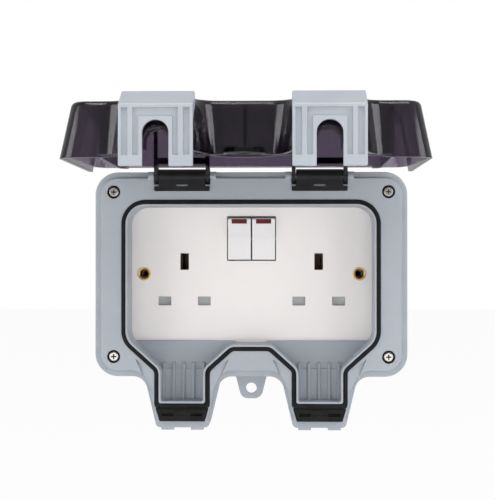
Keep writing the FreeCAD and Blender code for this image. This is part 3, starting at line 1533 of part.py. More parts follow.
def check_document():
    """Stop if any object of the document failed, or if a piece has no sound solid."""
    for thing in doc.Objects:
        if "Invalid" in thing.State or "Error" in thing.State:
            raise SystemExit(f"{thing.Name} ({thing.Label}) failed: {thing.State}")
    for piece in NODES:
        shape = piece.Shape
        if shape.isNull() or not shape.isValid() or not shape.Solids:
            raise SystemExit(f"{piece.Label} has no sound solid")


def write_parts():
    os.makedirs("parts", exist_ok=True)
    for piece in NODES:
        piece.Shape.exportStep(f"parts/{piece.Label}.step")
        print(piece.Label, len(piece.Shape.Solids), round(piece.Shape.Volume))


make_back_box()
make_box_seal()
make_front_frame()
make_gasket()
make_faceplate()
make_lid()
for side_name, side_sign in SIDES.items():
    make_cable_seal(side_name, side_sign)
    make_hinge_bracket(side_name, side_sign)
    make_hinge_pin(side_name, side_sign)
    make_hinge_arm(side_name, side_sign)
    make_latch(side_name, side_sign)
    make_latch_pin(side_name, side_sign)
    make_eyelet(side_name, side_sign)
    make_rocker(side_name, side_sign)
    make_rocker_flag(side_name, side_sign)
    make_line_contact(side_name, side_sign)
    make_contact_arm(side_name, side_sign)
    make_plunger(side_name, side_sign)
    make_shutter(side_name, side_sign)
    make_shutter_spring(side_name, side_sign)
    make_housing_screw(side_name, HOUSING_SCREWS[side_name])
for terminal_name, place_across in (("line", 1), ("earth", 0), ("neutral", -1)):
    make_terminal(terminal_name, S["terminal_apart"] * place_across)
    make_terminal_screw(terminal_name, S["terminal_apart"] * place_across)
for spot_name, spot in SCREW_SPOTS.items():
    make_cover_screw(spot_name, spot)
    make_screw_ring(spot_name, spot)
make_rear_housing()
make_neutral_contact()
make_earth_contact()
make_feed_bar()
make_spindle()
doc.recompute()
check_document()
write_parts()
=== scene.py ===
# %% [markdown]
# # An outdoor socket with its smoked cover open
#
# The socket hangs on a wall: a grey weatherproof box, a white double socket inside it, and a smoked
# cover that is hinged at the top. Its solids come from CAD and are already the right size, so this
# lesson is about what CAD leaves out: the finish of each plastic, rubber and metal, the soft edges that
# a mould leaves, small moulded detail, the studio light and the camera.
#
# First the CAD model is loaded. Sizes are in metres, X runs to the right, Y into the wall, Z up.

# %% Load the socket's solids
import json
import math

import bmesh
import bpy
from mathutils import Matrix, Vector


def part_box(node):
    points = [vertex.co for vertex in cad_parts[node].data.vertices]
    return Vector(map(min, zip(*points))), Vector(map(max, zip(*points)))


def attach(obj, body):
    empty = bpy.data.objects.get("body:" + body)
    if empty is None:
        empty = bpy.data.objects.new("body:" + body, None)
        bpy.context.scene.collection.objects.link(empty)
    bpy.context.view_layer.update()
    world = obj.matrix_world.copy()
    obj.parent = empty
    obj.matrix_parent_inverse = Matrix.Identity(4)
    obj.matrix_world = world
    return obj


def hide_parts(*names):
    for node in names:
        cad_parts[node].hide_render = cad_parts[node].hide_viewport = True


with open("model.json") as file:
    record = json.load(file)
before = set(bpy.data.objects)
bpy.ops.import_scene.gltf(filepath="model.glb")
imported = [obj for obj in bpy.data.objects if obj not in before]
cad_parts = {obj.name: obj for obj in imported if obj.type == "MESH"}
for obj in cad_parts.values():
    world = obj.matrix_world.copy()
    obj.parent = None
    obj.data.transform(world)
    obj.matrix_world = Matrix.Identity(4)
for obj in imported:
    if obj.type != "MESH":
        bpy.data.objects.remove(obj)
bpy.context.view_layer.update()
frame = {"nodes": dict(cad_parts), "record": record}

MM = 0.001

# %% [markdown]
# ## A finish from nodes
#
# A moulded plastic is never one flat colour. Its tone drifts a little, the mould leaves a fine grain,
# and every edge is slightly round and catches the light. All three can come from nodes, which is why no
# picture is needed. The solids stand at the origin with their place in the mesh, so Object coordinates
# are metres on the real object and a grain has its true size on every piece.

# %% The wiring shared by every finish
def add(owner, kind, **settings):
    """A node in a material or world. In a setting's name, an underscore stands for a space."""
    node = owner.node_tree.nodes.new("ShaderNode" + kind)
    for name, value in settings.items():
        socket = name.replace("_", " ")
        if socket in node.inputs:
            node.inputs[socket].default_value = value
        else:
            setattr(node, name, value)
    return node


def wire(owner, source, target, output=0, socket=0):
    """A link from one node's output to another node's socket."""
    owner.node_tree.links.new(source.outputs[output], target.inputs[socket])


def shader_of(finish):
    return finish.node_tree.nodes["Principled BSDF"]


def output_of(finish):
    return finish.node_tree.nodes["Material Output"]


def new_finish(name, color, roughness, **settings):
    """A material with one Principled shader. The settings are its plain numbers."""
    finish = bpy.data.materials.new(name)
    finish.use_nodes = True
    shader = shader_of(finish)
    shader.inputs["Base Color"].default_value = (*color, 1)
    shader.inputs["Roughness"].default_value = roughness
    for socket, value in settings.items():
        shader.inputs[socket.replace("_", " ")].default_value = value
    return finish


# %% Noise, tone and grain
TONE_SPREAD = (0.3, 0.7)  # the noise values that get the darkest and the lightest tone
EDGE_SAMPLES = 4  # rays that find how round an edge looks


def noise(finish, per_metre, detail=2.0):
    """Noise whose size is set in bumps per metre of the real object."""
    place = add(finish, "TexCoord")
    texture = add(finish, "TexNoise", Scale=per_metre, Detail=detail)
    wire(finish, place, texture, "Object", "Vector")
    return texture


def vary_color(finish, low, high, per_metre):
    """Let the colour drift between two tones."""
    ramp = add(finish, "ValToRGB")
    for element, place, tone in zip(ramp.color_ramp.elements, TONE_SPREAD, (low, high)):
        element.position = place
        element.color = (*tone, 1)
    wire(finish, noise(finish, per_metre, detail=4.0), ramp, "Fac", "Fac")
    wire(finish, ramp, shader_of(finish), "Color", "Base Color")


def vary_roughness(finish, low, high, per_metre):
    """Let the gloss drift, as it does where hands and mould have polished a surface."""
    scale = add(finish, "MapRange", To_Min=low, To_Max=high)
    wire(finish, noise(finish, per_metre, detail=3.0), scale, "Fac", "Value")
    wire(finish, scale, shader_of(finish), "Result", "Roughness")


def soft_surface(finish, edge_mm, grain_per_metre=0, grain_mm=0.0):
    """Round the edges for the light by edge_mm, and lay a fine moulded grain over them."""
    edge = add(finish, "Bevel", samples=EDGE_SAMPLES, Radius=edge_mm * MM)
    if grain_mm == 0:
        wire(finish, edge, shader_of(finish), "Normal", "Normal")
        return
    grain = add(finish, "Bump", Strength=1.0, Distance=grain_mm * MM)
    wire(finish, noise(finish, grain_per_metre), grain, "Fac", "Height")
    wire(finish, edge, grain, "Normal", "Normal")
    wire(finish, grain, shader_of(finish), "Normal", "Normal")


print("finishes are wired from noise, bevel and bump nodes")

# %% [markdown]
# ## The grey shell
#
# The box and the front frame are moulded in a grey, slightly blue plastic with a fine spark-eroded
# grain, and the latches in a paler, glossier one. Such a grain could be carved into the mesh, but it is
# only a hundredth of a millimetre deep, so a bump in the finish does it at no cost. It has to be much
# finer than the smallest radius, or the part looks cast in sand.

# %% Grey plastics
frame_grey = new_finish("grey_moulded_plastic", (0.375, 0.405, 0.445), roughness=0.42)
vary_color(frame_grey, (0.36, 0.39, 0.43), (0.39, 0.42, 0.46), per_metre=45)
vary_roughness(frame_grey, 0.36, 0.5, per_metre=160)
soft_surface(frame_grey, edge_mm=0.35, grain_per_metre=3800, grain_mm=0.012)

box_grey = new_finish("grey_box_plastic", (0.37, 0.405, 0.43), roughness=0.5)
vary_color(box_grey, (0.355, 0.39, 0.415), (0.385, 0.42, 0.445), per_metre=35)
soft_surface(box_grey, edge_mm=0.5, grain_per_metre=3000, grain_mm=0.02)

latch_grey = new_finish("pale_latch_plastic", (0.42, 0.45, 0.495), roughness=0.3)
vary_color(latch_grey, (0.405, 0.435, 0.48), (0.435, 0.465, 0.51), per_metre=60)
vary_roughness(latch_grey, 0.24, 0.36, per_metre=220)
soft_surface(latch_grey, edge_mm=0.4, grain_per_metre=5200, grain_mm=0.006)
print("grey plastics for the frame, the box and the latches")

# %% [markdown]
# ## The smoked cover
#
# The cover is clear plastic tinted almost black. One wall lets about a quarter of the light through,
# three walls look black, and a rib that is seen edge-on draws a black line. A tint on the surface can't
# do that, because it doesn't know how thick the plastic is. So the surface is clear, and the tint is in
# the volume, where it takes more light the longer the way through.

# %% Smoked plastic
WALL_MM = 2.0
WALL_PASSES = (0.27, 0.235, 0.29)  # shares of red, green and blue light that get through
HEADROOM = 1.02  # keeps the tint's darkest channel above black

lid_smoke = new_finish("smoked_clear_plastic", (0.97, 0.965, 0.975), roughness=0.09,
                       Transmission_Weight=1.0, IOR=1.585)
vary_roughness(lid_smoke, 0.05, 0.12, per_metre=90)
soft_surface(lid_smoke, edge_mm=0.5)
needed = [-math.log(share) / (WALL_MM * MM) for share in WALL_PASSES]
density = max(needed) * HEADROOM
tint_color = (*[1 - value / density for value in needed], 1)
tint = add(lid_smoke, "VolumeAbsorption", Density=density, Color=tint_color)
wire(lid_smoke, tint, output_of(lid_smoke), "Volume", "Volume")
print("a wall of", WALL_MM, "mm passes", WALL_PASSES, "of the light at density", round(density))

# %% [markdown]
# ## Rubber, white plastic and the small inner pieces
#
# The seals are matt black rubber, and the hinges a harder black plastic. Blacks differ in their shine
# far more than in their colour, so each has its own roughness and a low specular level. The socket's
# front is a hard white plastic with a warm cast and a soft gloss, and its rockers are the same plastic,
# moulded a little glossier.

# %% Seals and hinges
seal_black = new_finish("black_seal_rubber", (0.009, 0.009, 0.01), roughness=0.7,
                        Specular_IOR_Level=0.2)
vary_color(seal_black, (0.006, 0.006, 0.007), (0.014, 0.014, 0.015), per_metre=120)
soft_surface(seal_black, edge_mm=0.3, grain_per_metre=4200, grain_mm=0.02)

washer_black = new_finish("black_washer_rubber", (0.009, 0.009, 0.01), roughness=0.6,
                          Specular_IOR_Level=0.25)
vary_color(washer_black, (0.006, 0.006, 0.007), (0.014, 0.014, 0.015), per_metre=200)
soft_surface(washer_black, edge_mm=0.15, grain_per_metre=5000, grain_mm=0.01)

hinge_black = new_finish("black_hinge_plastic", (0.01, 0.01, 0.012), roughness=0.34,
                         Specular_IOR_Level=0.18)
vary_color(hinge_black, (0.009, 0.009, 0.011), (0.018, 0.018, 0.02), per_metre=90)
vary_roughness(hinge_black, 0.3, 0.46, per_metre=200)
soft_surface(hinge_black, edge_mm=0.3, grain_per_metre=4000, grain_mm=0.01)
print("blacks for the seals, the rings and the hinges")

# %% White plastics, the red strip and the inner grey
plate_white = new_finish("white_socket_plastic", (0.84, 0.805, 0.785), roughness=0.34)
vary_color(plate_white, (0.83, 0.795, 0.775), (0.85, 0.815, 0.795), per_metre=30)
vary_roughness(plate_white, 0.3, 0.4, per_metre=120)
soft_surface(plate_white, edge_mm=0.3, grain_per_metre=6000, grain_mm=0.003)

rocker_white = new_finish("white_rocker_plastic", (0.76, 0.745, 0.74), roughness=0.22)
vary_color(rocker_white, (0.75, 0.735, 0.73), (0.77, 0.755, 0.75), per_metre=60)
soft_surface(rocker_white, edge_mm=0.5, grain_per_metre=6000, grain_mm=0.002)

flag_red = new_finish("red_strip_plastic", (0.11, 0.008, 0.012), roughness=0.4,
                      Specular_IOR_Level=0.15)
vary_color(flag_red, (0.09, 0.006, 0.009), (0.14, 0.011, 0.015), per_metre=300)
soft_surface(flag_red, edge_mm=0.15)

inner_grey = new_finish("grey_inner_plastic", (0.42, 0.43, 0.44), roughness=0.45)
vary_color(inner_grey, (0.4, 0.41, 0.42), (0.45, 0.46, 0.47), per_metre=70)
soft_surface(inner_grey, edge_mm=0.2, grain_per_metre=4000, grain_mm=0.008)
print("whites for the plate and the rockers, a red and an inner grey")

# %% [markdown]
# ## Metals
#
# The sleeves, the terminals and every strip that carries current are brass, the cover screws are nickel
# plated, and the pins and springs are bright steel. The contacts sit deep in the socket's holes, so
# their brass is painted darker as painted shade. A stamped or turned metal shows fine streaks, so its
# roughness comes from a noise that is stretched the way the streaks run.

# %% Metals with a drawn grain
SMOOTHEST, ROUGHEST = 0.75, 1.35  # how far the streaks take the roughness down and up


def new_metal(name, color, roughness, streak, edge_mm):
    """A metal whose roughness runs in fine streaks. streak scales the noise on each axis."""
    metal = new_finish(name, color, roughness, Metallic=1.0)
    place = add(metal, "TexCoord")
    stretch = add(metal, "Mapping", Scale=streak)
    texture = add(metal, "TexNoise", Scale=1.0, Detail=3.0)
    scale = add(metal, "MapRange", To_Min=roughness * SMOOTHEST, To_Max=roughness * ROUGHEST)
    wire(metal, place, stretch, "Object", "Vector")
    wire(metal, stretch, texture, "Vector", "Vector")
    wire(metal, texture, scale, "Fac", "Value")
    wire(metal, scale, shader_of(metal), "Result", "Roughness")
    soft_surface(metal, edge_mm, grain_per_metre=7000, grain_mm=0.003)
    return metal


brass = new_metal("stamped_brass", (0.62, 0.42, 0.17), roughness=0.28,
                  streak=(400, 400, 4000), edge_mm=0.1)
# painted shade: the contacts' brass is darkened because they sit deep in the socket's holes
painted_shade_brass = new_metal("contact_brass_painted_shade", (0.16, 0.1, 0.075), roughness=0.5,
                          streak=(400, 400, 4000), edge_mm=0.1)
steel = new_metal("bright_steel", (0.52, 0.53, 0.55), roughness=0.3,
                  streak=(300, 3500, 3500), edge_mm=0.1)
screw_nickel = new_metal("nickel_plate", (0.44, 0.42, 0.385), roughness=0.26,
                         streak=(2500, 600, 2500), edge_mm=0.2)
print("two brasses, steel and nickel")

# %% [markdown]
# ## Dress the solids
#
# The record gives each solid the name of its material slot. The finishes above have the same names, so
# one loop dresses all of them. Only the contacts leave their slot's brass for the darker one, whose
# colour is painted shade.

# %% Each solid gets the finish of its slot
FINISHES = {
    "frame_grey": frame_grey, "box_grey": box_grey, "latch_grey": latch_grey,
    "lid_smoke": lid_smoke, "seal_black": seal_black, "washer_black": washer_black,
    "hinge_black": hinge_black, "plate_white": plate_white, "rocker_white": rocker_white,
    "flag_red": flag_red, "inner_grey": inner_grey, "brass": brass, "steel": steel,
    "screw_nickel": screw_nickel,
}
for part in frame["record"]["subparts"]:
    solid = frame["nodes"][part["node"]]
    finish = FINISHES[part["material_slot"]]
    # the contacts take the brass that is darkened by painted shade
    if "contact" in part["node"]:
        finish = painted_shade_brass
    solid.data.materials.clear()
    solid.data.materials.append(finish)

# %% [markdown]
# ## Rubber seals
#
# The black seal round the socket is one strip of soft rubber with a domed top, pressed into a groove.
# In CAD it is a flat strip, which shines wrongly. It could be bevelled, but a strip is easier to draw as
# what it is: a small cross-section that is swept along a closed path. The path is a list of corners with
# their radii, in the plane of the wall. From here on the drawings are in millimetres, and depths are
# counted from the wall towards the viewer. A helper turns every mesh below into a piece that rides on
# the right body.

# %% A helper that makes a piece from points and faces
CREASE_DEGREES = 42  # edges sharper than this stay sharp


def make_piece(name, points, faces, finish, body="casing", replaced=(), smooth=True):
    """A mesh from points in millimetres. It rides on a body and may stand for CAD solids."""
    mesh = bpy.data.meshes.new(name)
    mesh.from_pydata([Vector(point) * MM for point in points], [], faces)
    mesh.materials.append(finish)
    shell = bmesh.new()
    shell.from_mesh(mesh)
    bmesh.ops.recalc_face_normals(shell, faces=shell.faces)
    shell.to_mesh(mesh)
    shell.free()
    if smooth:
        mesh.shade_smooth()
        mesh.set_sharp_from_angle(angle=math.radians(CREASE_DEGREES))
    piece = bpy.data.objects.new(name, mesh)
    bpy.context.scene.collection.objects.link(piece)
    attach(piece, body)
    if replaced:
        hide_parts(*replaced)
    print(name, "has", len(mesh.polygons), "faces")
    return piece


# %% A closed path with round corners, and a sweep along it
def rounded_path(corners, steps=10):
    """Points along a closed outline. Each corner is x, z and a radius."""
    points = []
    for index, (x, z, radius) in enumerate(corners):
        corner = Vector((x, z))
        back = (Vector(corners[index - 1][:2]) - corner).normalized()
        ahead = (Vector(corners[(index + 1) % len(corners)][:2]) - corner).normalized()
        half = back.angle(ahead) / 2
        centre = corner + (back + ahead).normalized() * (radius / math.sin(half))
        start = corner + back * (radius / math.tan(half)) - centre
        end = corner + ahead * (radius / math.tan(half)) - centre
        for step in range(steps + 1):
            arm = start.lerp(end, step / steps).normalized() * radius
            points.append(centre + arm)
    return points


def tube_faces(rings, count):
    """The faces between rings of count points each. The last ring meets the first."""
    faces = []
    for ring in range(rings):
        after = (ring + 1) % rings
        for spot in range(count):
            beside = (spot + 1) % count
            faces.append((ring * count + spot, ring * count + beside, after * count + beside,
                          after * count + spot))
    return faces


def sweep(name, path, profile, finish, replaced=()):
    """Sweep a closed cross-section round a closed path. Each of its points is (outward, depth)."""
    points = []
    for index, point in enumerate(path):
        along = (path[(index + 1) % len(path)] - path[index - 1]).normalized()
        outward = Vector((along.y, -along.x))
        for out, depth in profile:
            place = point + outward * out
            points.append((place.x, -depth, place.y))
    faces = tube_faces(len(path), len(profile))
    return make_piece(name, points, faces, finish, replaced=replaced)


# %% The seal round the socket
SOCKET_RIGHT_HALF = [(10.38, -40.6, 4.6), (23.6, -52.5, 4.6), (23.6, -71.45, 1.3),
                     (51.4, -71.45, 1.3), (51.4, -52.5, 4.6), (69.5, -36.2, 12), (69.5, 39.5, 12)]
SOCKET_LEFT_HALF = [(-x, z, radius) for x, z, radius in reversed(SOCKET_RIGHT_HALF)]
SOCKET_CORNERS = SOCKET_RIGHT_HALF + SOCKET_LEFT_HALF
DOMED = [(-1.25, 64.0), (1.25, 64.0), (1.25, 66.28), (1.17, 66.45), (0.95, 66.54), (0, 66.6),
         (-0.95, 66.54), (-1.17, 66.45), (-1.25, 66.28)]
sweep("domed_socket_seal", rounded_path(SOCKET_CORNERS), DOMED, seal_black,
      replaced=["lid_gasket"])

# %% The ribbed seal behind the frame
FRAME_CORNERS = [(83.2, -53.7, 10.2), (83.2, 53.7, 10.2), (-83.2, 53.7, 10.2), (-83.2, -53.7, 10.2)]
RIBBED = [(-0.9, 44.0), (0.82, 44.0), (0.9, 44.15), (0.9, 44.45), (0.7, 44.6), (0.7, 44.9),
          (0.9, 45.05), (0.9, 45.35), (0.82, 45.5), (-0.9, 45.5)]
sweep("ribbed_frame_seal", rounded_path(FRAME_CORNERS), RIBBED, seal_black,
      replaced=["box_seal"])

# %% [markdown]
# ## Cable seals
#
# Each cable outlet ends in a block of soft rubber that closes round the cable. Its front is almost flat,
# with a soft edge all round, a raised pad in the middle and a folding groove on each side. It could be
# sculpted, but a surface like that is a height over a grid: one small function says how far each point
# stands out. A thin lip of the same rubber laps over the frame above each block.

# %% How far the rubber stands out
BLOCK_TALL = 7.0
BLOCK_FRONT, BLOCK_EDGE = 66.88, 0.7  # depth of the front, and the radius of its edge
PAD_HALF, PAD_HALF_TALL, PAD_FADE, PAD_RISE = 4.9, 3.0, 0.7, 0.36
FOLD_DOWN, FOLD_HALF_TALL, FOLD_DEPTH = 3.4, 0.75, 1.5
FOLD_START, FOLD_FULL, FOLD_END = 4.6, 5.2, 11.2  # outward from the block's middle
CREASE_HALF, CREASE_HALF_TALL, CREASE_DEPTH = 4.2, 0.35, 0.3


def soft_step(value, low, high):
    """0 below low, 1 above high, and a smooth rise between."""
    share = min(1, max(0, (value - low) / (high - low)))
    return share * share * (3 - 2 * share)


def within(value, reach, fade):
    """1 near 0, 0 beyond reach, and a smooth fall over the last stretch, which is fade long."""
    return soft_step(reach - abs(value), 0, fade)


def cable_seal_height(across, down, half):
    """How far a point of the rubber block stands in front of the wall, in millimetres."""
    edge = min(half - abs(across), down, BLOCK_TALL - down, BLOCK_EDGE)
    rounding = math.sqrt(max(0, BLOCK_EDGE ** 2 - (BLOCK_EDGE - edge) ** 2))
    pad = within(across, PAD_HALF, PAD_FADE)
    pad *= within(down - BLOCK_TALL / 2, PAD_HALF_TALL, PAD_FADE)
    fold = soft_step(abs(across), FOLD_START, FOLD_FULL) * within(across, FOLD_END, fade=0.6)
    fold *= within(down - FOLD_DOWN, FOLD_HALF_TALL, fade=0.35)
    crease = within(down - FOLD_DOWN, CREASE_HALF_TALL, fade=0.3)
    crease *= within(across, CREASE_HALF, fade=0.5)
    height = BLOCK_FRONT - BLOCK_EDGE + rounding
    return height + PAD_RISE * pad - FOLD_DEPTH * fold - CREASE_DEPTH * crease


print("the pad stands", PAD_RISE, "mm proud, and the folds are", FOLD_DEPTH, "mm deep")

# %% The block: a grid with a skirt
BLOCK_TOP, BLOCK_BACK = -73.2, 55.95
BLOCK_HALF_TOP, BLOCK_HALF_FOOT = 14.1, 12.15
ROWS, COLUMNS = 36, 112


def make_cable_seal(name, middle, replaced):
    """A grid for the front, finer towards its edges, with a skirt back to the frame."""
    line = COLUMNS + 1
    points = []
    for row in range(ROWS + 1):
        down = BLOCK_TALL * (0.5 - 0.5 * math.cos(math.pi * row / ROWS))
        half = BLOCK_HALF_TOP - (BLOCK_HALF_TOP - BLOCK_HALF_FOOT) * down / BLOCK_TALL
        for column in range(line):
            across = half * math.sin(math.pi / 2 * (2 * column / COLUMNS - 1))
            depth = cable_seal_height(across, down, half)
            points.append((middle + across, -depth, BLOCK_TOP - down))
    faces = []
    for row in range(ROWS):
        for column in range(COLUMNS):
            first = row * line + column
            faces.append((first, first + 1, first + line + 1, first + line))
    rim = list(range(line)) + [row * line + COLUMNS for row in range(1, ROWS + 1)]
    rim += [ROWS * line + column for column in range(COLUMNS - 1, -1, -1)]
    rim += [row * line for row in range(ROWS - 1, 0, -1)]
    start = len(points)
    points += [(points[spot][0], -BLOCK_BACK, points[spot][2]) for spot in rim]
    for index, spot in enumerate(rim):
        after = (index + 1) % len(rim)
        faces.append((spot, start + index, start + after, rim[after]))
    faces.append(tuple(range(start, start + len(rim))))
    return make_piece(name, points, faces, seal_black, replaced=replaced)


# %% The lip: a short bar with a chamfered front
LIP_HALF, LIP_LOW, LIP_HIGH = 14.2, -73.22, -72.73
LIP_BACK, LIP_FRONT, LIP_CHAMFER = 66.03, 66.58, 0.1
OUTLET_X = 37.5  # from the socket's middle to the middle of each cable outlet


def bar_faces(count):
    """The ends and sides of a straight bar. Its points are one end's, then the other end's."""
    faces = [tuple(range(count)), tuple(range(count, 2 * count))]
    for spot in range(count):
        beside = (spot + 1) % count
        faces.append((spot, beside, beside + count, spot + count))
    return faces


def make_seal_lip(name, middle):
    """The thin rubber lip that laps over the frame between the block and the long seal."""
    section = [(LIP_LOW, LIP_BACK), (LIP_LOW, LIP_FRONT - LIP_CHAMFER),
               (LIP_LOW + LIP_CHAMFER, LIP_FRONT), (LIP_HIGH - LIP_CHAMFER, LIP_FRONT),
               (LIP_HIGH, LIP_FRONT - LIP_CHAMFER), (LIP_HIGH, LIP_BACK)]
    points = [(middle + across, -depth, z) for across in (-LIP_HALF, LIP_HALF)
              for z, depth in section]
    faces = bar_faces(len(section))
    return make_piece(name, points, faces, seal_black, smooth=False)


for side, middle in (("left", -OUTLET_X), ("right", OUTLET_X)):
    make_cable_seal("rubber_cable_block_" + side, middle, ["cable_seal_" + side])
    make_seal_lip("rubber_lip_" + side, middle)

# %% [markdown]
# ## Turned pieces
#
# The brass sleeves of the white plate and the rubber rings under the cover screws are turned about an
# axis. A ready-made cylinder would give them dead sharp rims, but a profile of radius and depth is all
# that a turned piece needs. The sleeve gets a rolled rim and a countersink, which makes the dark ring
# that the eye expects there. The ring gets a round edge.

# %% Two brass sleeves
FIXING_X = 60.3  # from the plate's middle to each fixing screw


def turned(name, profile, x, z, finish, replaced=(), sides=64):
    """Turn a closed profile of (radius, depth) points about an axis that points out of the wall."""
    points = []
    for number in range(sides):
        angle = 2 * math.pi * number / sides
        for radius, depth in profile:
            points.append((x + radius * math.cos(angle), -depth, z + radius * math.sin(angle)))
    faces = tube_faces(sides, len(profile))
    return make_piece(name, points, faces, finish, replaced=replaced)


SLEEVE = [(1.95, 39.0), (2.6, 39.0), (2.6, 48.0), (3.55, 48.0), (3.7, 48.1), (3.7, 48.3),
          (3.62, 48.43), (3.45, 48.5), (3.2, 48.5), (3.02, 48.42), (2.86, 48.22), (2.74, 48.06),
          (2.5, 47.98), (2.36, 47.8), (2.1, 46.9), (1.98, 46.2), (1.95, 45.6)]
for side, x in (("left", -FIXING_X), ("right", FIXING_X)):
    turned("turned_sleeve_" + side, SLEEVE, x, 0, brass, ["eyelet_" + side])

# %% Four rubber rings
SCREW_SPOTS = {}
for corner in ("top_left", "top_right", "bottom_left", "bottom_right"):
    low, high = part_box("cover_screw_" + corner)
    SCREW_SPOTS[corner] = ((low[0] + high[0]) / 2 / MM, (low[2] + high[2]) / 2 / MM)
RING = [(1.66, 63.1), (3.3, 63.1), (3.48, 63.25), (3.48, 63.95), (3.36, 64.16), (3.12, 64.28),
        (2.7, 64.29), (1.66, 64.29)]
for corner, (x, z) in SCREW_SPOTS.items():
    turned("rubber_ring_" + corner, RING, x, z, washer_black,
           ["screw_ring_" + corner])

# %% [markdown]
# ## Painted shade in the screw crosses
#
# Each nickel screw has a cross recess, and from half a metre away only its dark cross shows. That dark
# is shade. It could be a deeper cut, but then the light would decide how dark it looks. So the shade is
# painted: a small plate on the floor of the recess carries it, with a dull, almost black metal finish.

# %% Four crosses of painted shade
# painted shade: a near-black finish for the floor of each cross recess
painted_shade_metal = new_finish("painted_shade_recess_metal", (0.03, 0.028, 0.026), roughness=0.55, Metallic=0.4)
vary_color(painted_shade_metal, (0.02, 0.018, 0.016), (0.06, 0.055, 0.05), per_metre=900)
soft_surface(painted_shade_metal, edge_mm=0.05)
LONG, THIN = 1.42, 0.35  # from the middle to an arm's end, and half an arm's width
CROSS_DEPTHS = (64.82, 65.3)  # the plate's back and front
CROSS = [(-THIN, -LONG), (THIN, -LONG), (THIN, -THIN), (LONG, -THIN), (LONG, THIN), (THIN, THIN),
         (THIN, LONG), (-THIN, LONG), (-THIN, THIN), (-LONG, THIN), (-LONG, -THIN), (-THIN, -THIN)]
# each plate is painted shade, laid where the recess is in shadow
for corner, (x, z) in SCREW_SPOTS.items():
    points = [(x + across, -depth, z + up) for depth in CROSS_DEPTHS for across, up in CROSS]
    make_piece("painted_shade_cross_" + corner, points, bar_faces(len(CROSS)), painted_shade_metal,
               smooth=False)

# %% [markdown]
# ## Soft edges on the rockers
#
# The rockers are touched every day, so their mould has generous radii. The solids have sharp edges. A
# bevel modifier rounds them without a change to the CAD mesh, once a weld modifier has joined the points
# that the file format keeps apart.

# %% Bevelled rockers
SAME_POINT = 0.002  # points nearer than this are one
ROCKER_EDGE, EDGE_STEPS = 0.5, 3
SHARP_FROM_DEGREES = 35

for side in ("left", "right"):
    rocker = frame["nodes"]["rocker_" + side]
    weld = rocker.modifiers.new("join_points", "WELD")
    weld.merge_threshold = SAME_POINT * MM
    soft = rocker.modifiers.new("soft_edges", "BEVEL")
    soft.width = ROCKER_EDGE * MM
    soft.segments = EDGE_STEPS
    soft.limit_method = "ANGLE"
    soft.angle_limit = math.radians(SHARP_FROM_DEGREES)
    soft.harden_normals = True
print("both rockers have edges of", ROCKER_EDGE, "mm")

# %% [markdown]
# ## Light
#
# The socket stands in a white studio, with light from all round, brighter from above and from both
# sides, and darker behind the camera. Lamps alone would leave hard black gaps in the reflections, so
# the sky does most of it, with a tone that changes with direction. Four soft lamps add the long bright
# streaks on the smoked cover. Rays that go straight from the camera, or through the cover, meet plain
# white.

# %% A studio sky
SKY_NEAR, SKY_FAR = 0.17, 0.46  # from behind the camera, and from beyond the socket
SKY_LOW, SKY_HIGH = 0.04, 0.1  # what comes on top of that from below, and from above
PURE_WHITE = (1, 1, 1, 1)

world = bpy.data.worlds.new("studio")
bpy.context.scene.world = world
world.use_nodes = True
world.node_tree.nodes.clear()

way = add(world, "TexCoord")
parts = add(world, "SeparateXYZ")
ahead = add(world, "MapRange", From_Min=-1, From_Max=0.5, To_Min=SKY_NEAR, To_Max=SKY_FAR)
above = add(world, "MapRange", From_Min=-0.6, From_Max=0.9, To_Min=SKY_LOW, To_Max=SKY_HIGH)
both = add(world, "Math", operation="ADD")
studio = add(world, "Background", Color=PURE_WHITE)
wire(world, way, parts, "Generated", "Vector")
wire(world, parts, ahead, "Y", "Value")
wire(world, parts, above, "Z", "Value")
wire(world, ahead, both, "Result", 0)
wire(world, above, both, "Result", 1)
wire(world, both, studio, "Value", "Strength")

# %% Plain white for the camera
ray = add(world, "LightPath")
seen = add(world, "Math", operation="MAXIMUM")
plain = add(world, "Background", Color=PURE_WHITE, Strength=1.0)
choose = add(world, "MixShader")
wire(world, ray, seen, "Is Camera Ray", 0)
wire(world, ray, seen, "Is Transmission Ray", 1)
wire(world, seen, choose, "Value", 0)
wire(world, studio, choose, "Background", 1)
wire(world, plain, choose, "Background", 2)
wire(world, choose, add(world, "OutputWorld"), "Shader", "Surface")
bpy.context.scene.view_settings.view_transform = "Standard"
print("sky from", round(SKY_NEAR + SKY_LOW, 2), "to", round(SKY_FAR + SKY_HIGH, 2))


# %% Four soft lamps
def soft_lamp(name, place, aim, wide, tall, watts):
    """A rectangular lamp that faces a point of the socket."""
    lamp = bpy.data.lights.new(name, "AREA")
    lamp.shape = "RECTANGLE"
    lamp.size = wide
    lamp.size_y = tall
    lamp.energy = watts
    stand = bpy.data.objects.new(name, lamp)
    stand.location = place
    stand.rotation_euler = (Vector(place) - Vector(aim)).to_track_quat("Z", "Y").to_euler()
    bpy.context.scene.collection.objects.link(stand)
    print(name, "gives", watts, "W")


soft_lamp("lamp_above", (0.1, -0.55, 0.95), aim=(0, -0.06, 0), wide=0.9, tall=0.6, watts=5.6)
soft_lamp("lamp_left", (-0.85, -0.6, 0.1), aim=(0, -0.1, 0.02), wide=0.6, tall=0.9, watts=4.3)
soft_lamp("lamp_right", (0.85, -0.6, 0.1), aim=(0, -0.1, 0.02), wide=0.6, tall=0.9, watts=4.3)
soft_lamp("lamp_low", (0, -0.9, -0.12), aim=(0, -0.05, -0.02), wide=0.8, tall=0.25, watts=1.7)

# %% [markdown]
# ## Floor and camera
#
# The floor could be lit until it is white, but then the socket would glare too. So it is white to the
# camera alone, by a share that leaves a little of the socket's shadow on it. The camera stands 0.67 m
# in front of the white plate, a little to the right of its middle, and turns back towards it by under
# two degrees.

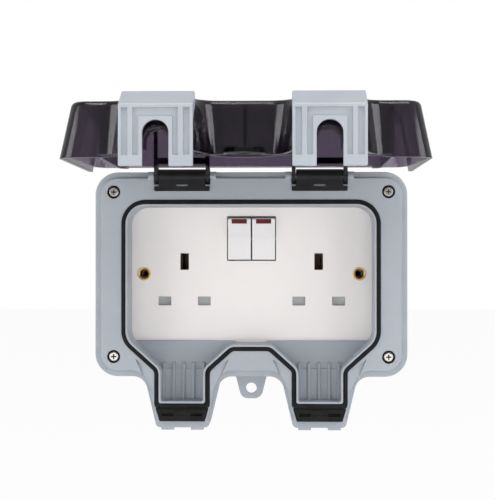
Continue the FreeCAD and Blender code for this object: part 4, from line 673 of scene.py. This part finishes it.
# %% A white floor
FLOOR_Z, FLOOR_REACH = -0.2, 4.0
FLOOR_GLOW = 0.94  # the share of plain white in what the camera sees

mesh = bpy.data.meshes.new("studio_floor")
corners = [(-FLOOR_REACH, -FLOOR_REACH, FLOOR_Z), (FLOOR_REACH, -FLOOR_REACH, FLOOR_Z),
           (FLOOR_REACH, FLOOR_REACH, FLOOR_Z), (-FLOOR_REACH, FLOOR_REACH, FLOOR_Z)]
mesh.from_pydata(corners, [], [(0, 1, 2, 3)])
floor = bpy.data.objects.new("studio_floor", mesh)
bpy.context.scene.collection.objects.link(floor)

floor_white = new_finish("floor_white", (0.93, 0.93, 0.93), roughness=0.9)
glow = add(floor_white, "Emission", Color=PURE_WHITE, Strength=1.0)
look = add(floor_white, "LightPath")
share = add(floor_white, "Math", operation="MULTIPLY")
share.inputs[1].default_value = FLOOR_GLOW
blend = add(floor_white, "MixShader")
wire(floor_white, look, share, "Is Camera Ray", 0)
wire(floor_white, share, blend, "Value", 0)
wire(floor_white, shader_of(floor_white), blend, "BSDF", 1)
wire(floor_white, glow, blend, "Emission", 2)
wire(floor_white, blend, output_of(floor_white), "Shader", "Surface")
mesh.materials.append(floor_white)
print("the floor is", -FLOOR_Z, "m below the socket's middle")

# %% The camera
FOCAL_PIXELS, PICTURE_PIXELS = 1187, 500
SENSOR_MM = 36
CAMERA_PLACE = (0.0165, -0.713, 0.010)
UP_PIXELS, LEFT_PIXELS = 6, 33.5  # how far the camera turns, as a shift of the picture

camera = bpy.data.cameras.new("camera")
camera.sensor_width = SENSOR_MM
camera.lens = FOCAL_PIXELS / PICTURE_PIXELS * SENSOR_MM
camera_stand = bpy.data.objects.new("camera", camera)
camera_stand.location = CAMERA_PLACE
camera_stand.rotation_euler = (math.radians(90) + math.atan(UP_PIXELS / FOCAL_PIXELS), 0,
                               math.atan(LEFT_PIXELS / FOCAL_PIXELS))
bpy.context.scene.collection.objects.link(camera_stand)
bpy.context.scene.camera = camera_stand
print("lens", round(camera.lens, 1), "mm")
